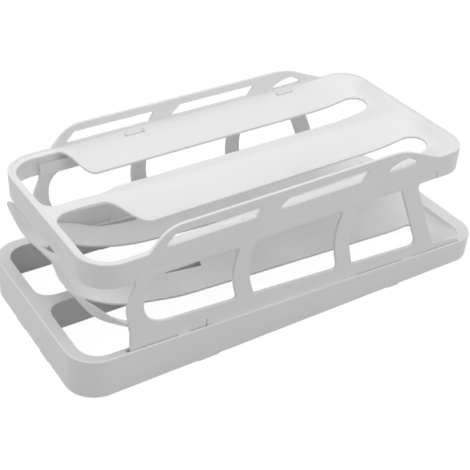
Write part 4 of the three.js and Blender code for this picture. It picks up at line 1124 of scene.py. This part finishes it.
def make_hook(side, name, window, cad_node):
    """A J in section, carried along the tray: an arm, a tongue with a small head that fills the window,
    and a barb over the ledge."""
    tongue_out = PANEL_INNER - WALL - CLEARANCE * 2
    tongue_in, head = tongue_out - HOOK_TONGUE, tongue_out + HOOK_HEAD
    low, barb = HOOK_LOW - SKIRT, WALL + CLEARANCE * 2 - RECESS_TOP
    outline = rounded([
        (PANEL_INNER + ROOT, low, 0), (tongue_in, low, HEEL_ROUND),
        (tongue_in, -HOOK_TOP, SOFT_ROUND), (head, -HOOK_TOP, HEAD_CORNER),
        (head, -HOOK_TOP - HEAD_HEIGHT, SMALL_ROUND), (tongue_out, -HOOK_TOP - HEAD_FOOT, SMALL_ROUND),
        (tongue_out, barb + BARB_HEIGHT, SMALL_ROUND),
        (tongue_out + BARB_REACH, barb, SMALL_ROUND), (tongue_out, barb, TINY_ROUND),
        (tongue_out, low + HOOK_ARM, HOOK_BEND), (PANEL_INNER + ROOT, low + HOOK_ARM, 0),
    ], 5)
    start, end = window[0] + HOOK_SIDE, window[1] - HOOK_SIDE

    def place(points):
        return from_tray(np.stack([start + points[:, 2], side * points[:, 0], points[:, 1]], 1))

    slab(name, outline, [], end - start, cad_node, place, TINY_ROUND)


def make_lug(side, name, cad_node):
    """A short shelf on the leg, just under the ramp's edge."""
    inner = PANEL_INNER - LUG_REACH
    left, right = (float(ramp_top(x, inner)) - SHEET - CLEARANCE for x in (LUG_START, LUG_END))
    low_left, low_right = left - LUG_HEIGHT, right - LUG_HEIGHT
    corners = [(LUG_START, left), (LUG_START, low_left), (LUG_END, low_right), (LUG_END, right)]
    place = upright(side * inner, side * PANEL_OUTER)
    slab(name, softened(corners, SMALL_ROUND), [], LUG_REACH + ROOT, cad_node, place, SMALL_EDGE)


# %% Panels
def make_panel(side, cad_node):
    """The plate, its two hooks and its lug."""
    place = upright(side * PANEL_OUTER, 0)
    slab(f"{cad_node}_plate", panel_outline(), panel_windows(), WALL, cad_node, place, PANEL_EDGE)
    for number, window in enumerate(CLIP_WINDOWS):
        make_hook(side, f"{cad_node}_hook_{number}", window, cad_node)
    make_lug(side, f"{cad_node}_lug", cad_node)


for side, side_name in SIDES:
    make_panel(side, f"side_panel_{side_name}")

# %% [markdown]
# ## White satin plastic
# The mouldings are one bright white polymer with a satin skin. Close by, such a skin is not flat: it has
# the fine grain of the mould's sparked steel, a slow waviness where thick and thin parts cooled apart, and
# slightly glossier patches. A photograph of plastic could give all that, but two noises need no seams, and
# the same two values feed the bump, the roughness and a hair of colour.


# %% Shader maths
class Value:
    """A socket that can be added and multiplied like a number."""

    def __init__(self, graph, socket):
        self.graph, self.socket = graph, socket

    def _math(self, operation, other):
        new = self.graph.node("ShaderNodeMath", {"operation": operation}, {0: self, 1: other})
        return Value(self.graph, new.outputs[0])

    def __add__(self, other):
        return self._math("ADD", other)

    def __mul__(self, other):
        return self._math("MULTIPLY", other)

    __radd__, __rmul__ = __add__, __mul__


class Graph:
    """A tree of nodes, with one method for every kind of node."""

    def __init__(self, tree):
        self.tree = tree

    def feed(self, target, values):
        """Gives a node's sockets their links or plain values."""
        for name, value in values.items():
            source = value.socket if isinstance(value, Value) else value
            if isinstance(source, bpy.types.NodeSocket):
                self.tree.links.new(source, target.inputs[name])
            else:
                target.inputs[name].default_value = source

    def node(self, kind, settings=None, values=None):
        """One node: its settings first, then the values or links of its sockets."""
        new = self.tree.nodes.new(kind)
        for name, value in (settings or {}).items():
            setattr(new, name, value)
        self.feed(new, values or {})
        return new

    def value(self, kind, output, values=None):
        """A new node's output as a value."""
        return Value(self, self.node(kind, values=values).outputs[output])


def new_material(name):
    """A material and the graph of its nodes."""
    material = bpy.data.materials.new(name)
    material.use_nodes = True
    return material, Graph(material.node_tree)


# %% Satin plastic
PLASTIC_LIGHT = (0.905, 0.905, 0.905, 1)
PLASTIC_SHADE = (0.88, 0.882, 0.885, 1)
WAVE_SCALE, WAVE_DETAIL, WAVE_STRENGTH, WAVE_HEIGHT = 22.0, 2.0, 0.12, 0.0006
GRAIN_SCALE, GRAIN_DETAIL, GRAIN_STRENGTH, GRAIN_HEIGHT = 2600.0, 1.0, 0.1, 0.00005
ROUGHNESS, WAVE_ROUGHNESS, GRAIN_ROUGHNESS = 0.4, 0.12, 0.06
REFRACTION = 1.46
MIX_FROM, MIX_TO, MIXED = 6, 7, 2  # the mix node's sockets for colours


def satin_plastic():
    """Two noises on Object coordinates: a slow one for waviness and tone, a fine one for the grain."""
    material, graph = new_material("white_satin_plastic")
    place = graph.value("ShaderNodeTexCoord", "Object")
    wave, grain = (
        graph.value("ShaderNodeTexNoise", 0, {"Vector": place, "Scale": scale, "Detail": detail})
        for scale, detail in ((WAVE_SCALE, WAVE_DETAIL), (GRAIN_SCALE, GRAIN_DETAIL))
    )
    tone = graph.node("ShaderNodeMix", {"data_type": "RGBA"}, {
        "Factor": wave, MIX_FROM: PLASTIC_LIGHT, MIX_TO: PLASTIC_SHADE,
    })
    slow_bump = graph.value("ShaderNodeBump", 0, {
        "Strength": WAVE_STRENGTH, "Distance": WAVE_HEIGHT, "Height": wave,
    })
    bump = graph.value("ShaderNodeBump", 0, {
        "Strength": GRAIN_STRENGTH, "Distance": GRAIN_HEIGHT, "Height": grain, "Normal": slow_bump,
    })
    graph.feed(material.node_tree.nodes["Principled BSDF"], {
        "Base Color": tone.outputs[MIXED],
        "Roughness": ROUGHNESS + WAVE_ROUGHNESS * wave + GRAIN_ROUGHNESS * grain,
        "Normal": bump,
        "IOR": REFRACTION,
    })
    return material


plastic = satin_plastic()
for piece in made:
    piece.data.materials.append(plastic)
print(plastic.name, "is on", len(made), "pieces")

# %% [markdown]
# ## Stage and light
# The photograph is a product shot on pure white. A wide pale floor keeps a soft shadow under the dispenser.
# To the camera and in gloss it looks white, because there most of it is a glow, but it throws only a matt
# grey's light up at the dispenser. A white floor all through would wash out the undersides.

# %% Floor
FLOOR_SIZE, FLOOR_CELLS = 6.0, 8
FLOOR_PAINT, FLOOR_GLOW, GLOW_SHARE = 0.42, 1.28, 0.75


def stage_material():
    """Matt paint, mixed for camera and glossy rays with a white glow."""
    material, graph = new_material("pale_floor")
    material.node_tree.nodes.clear()
    rays = graph.node("ShaderNodeLightPath").outputs
    seen = Value(graph, rays["Is Camera Ray"]) + rays["Is Glossy Ray"]
    paint = graph.value("ShaderNodeBsdfDiffuse", 0, {"Color": (FLOOR_PAINT, FLOOR_PAINT, FLOOR_PAINT, 1)})
    glow = graph.value("ShaderNodeEmission", 0, {"Color": (1, 1, 1, 1), "Strength": FLOOR_GLOW})
    both = graph.value("ShaderNodeMixShader", 0, {"Fac": GLOW_SHARE * seen, 1: paint, 2: glow})
    graph.node("ShaderNodeOutputMaterial", values={"Surface": both})
    return material


def make_floor():
    """A square grid, flat at height zero."""
    step = np.linspace(-FLOOR_SIZE / 2, FLOOR_SIZE / 2, FLOOR_CELLS + 1)
    x, y = np.meshgrid(step, step, indexing="ij")
    mesh = bpy.data.meshes.new("floor")
    faces = grid_faces(len(step), len(step), False, False)
    mesh.from_pydata(np.stack([x, y, 0 * x], 2).reshape(-1, 3).tolist(), [], faces.tolist())
    mesh.materials.append(stage_material())
    add_object("floor", mesh)
    print("the floor is", FLOOR_SIZE, "m wide")


make_floor()

# %% Lamps and world
LAMP_TARGET = Vector((0, 0, 0.06))
LAMPS = [
    ("top", (0.1, 0.15, 1.6), 1.4, 8.4),
    ("left", (-1.2, 0.3, 1.05), 0.9, 3.6),
    ("front", (0.95, -1.5, 0.9), 0.9, 5.2),
]
WORLD_LEVEL = 0.5


def make_lamp(name, place, size, power):
    """A square lamp of a size in metres and a power in watts, turned to the dispenser."""
    data = bpy.data.lights.new(name, "AREA")
    data.shape, data.size, data.energy = "SQUARE", size, power
    lamp = add_object(name, data)
    lamp.location = place
    lamp.rotation_mode = "QUATERNION"
    lamp.rotation_quaternion = (LAMP_TARGET - Vector(place)).to_track_quat("-Z", "Y")
    print(name, "lamp gives", power, "W")


def make_world():
    """White to the camera, and dimmer as a light."""
    world = bpy.data.worlds.new("studio")
    world.use_nodes = True
    graph = Graph(world.node_tree)
    seen = graph.value("ShaderNodeLightPath", "Is Camera Ray")
    strength = WORLD_LEVEL + (1 - WORLD_LEVEL) * seen
    graph.feed(world.node_tree.nodes["Background"], {"Color": (1, 1, 1, 1), "Strength": strength})
    bpy.context.scene.world = world


for lamp in LAMPS:
    make_lamp(*lamp)
make_world()
bpy.context.scene.view_settings.view_transform = "Standard"
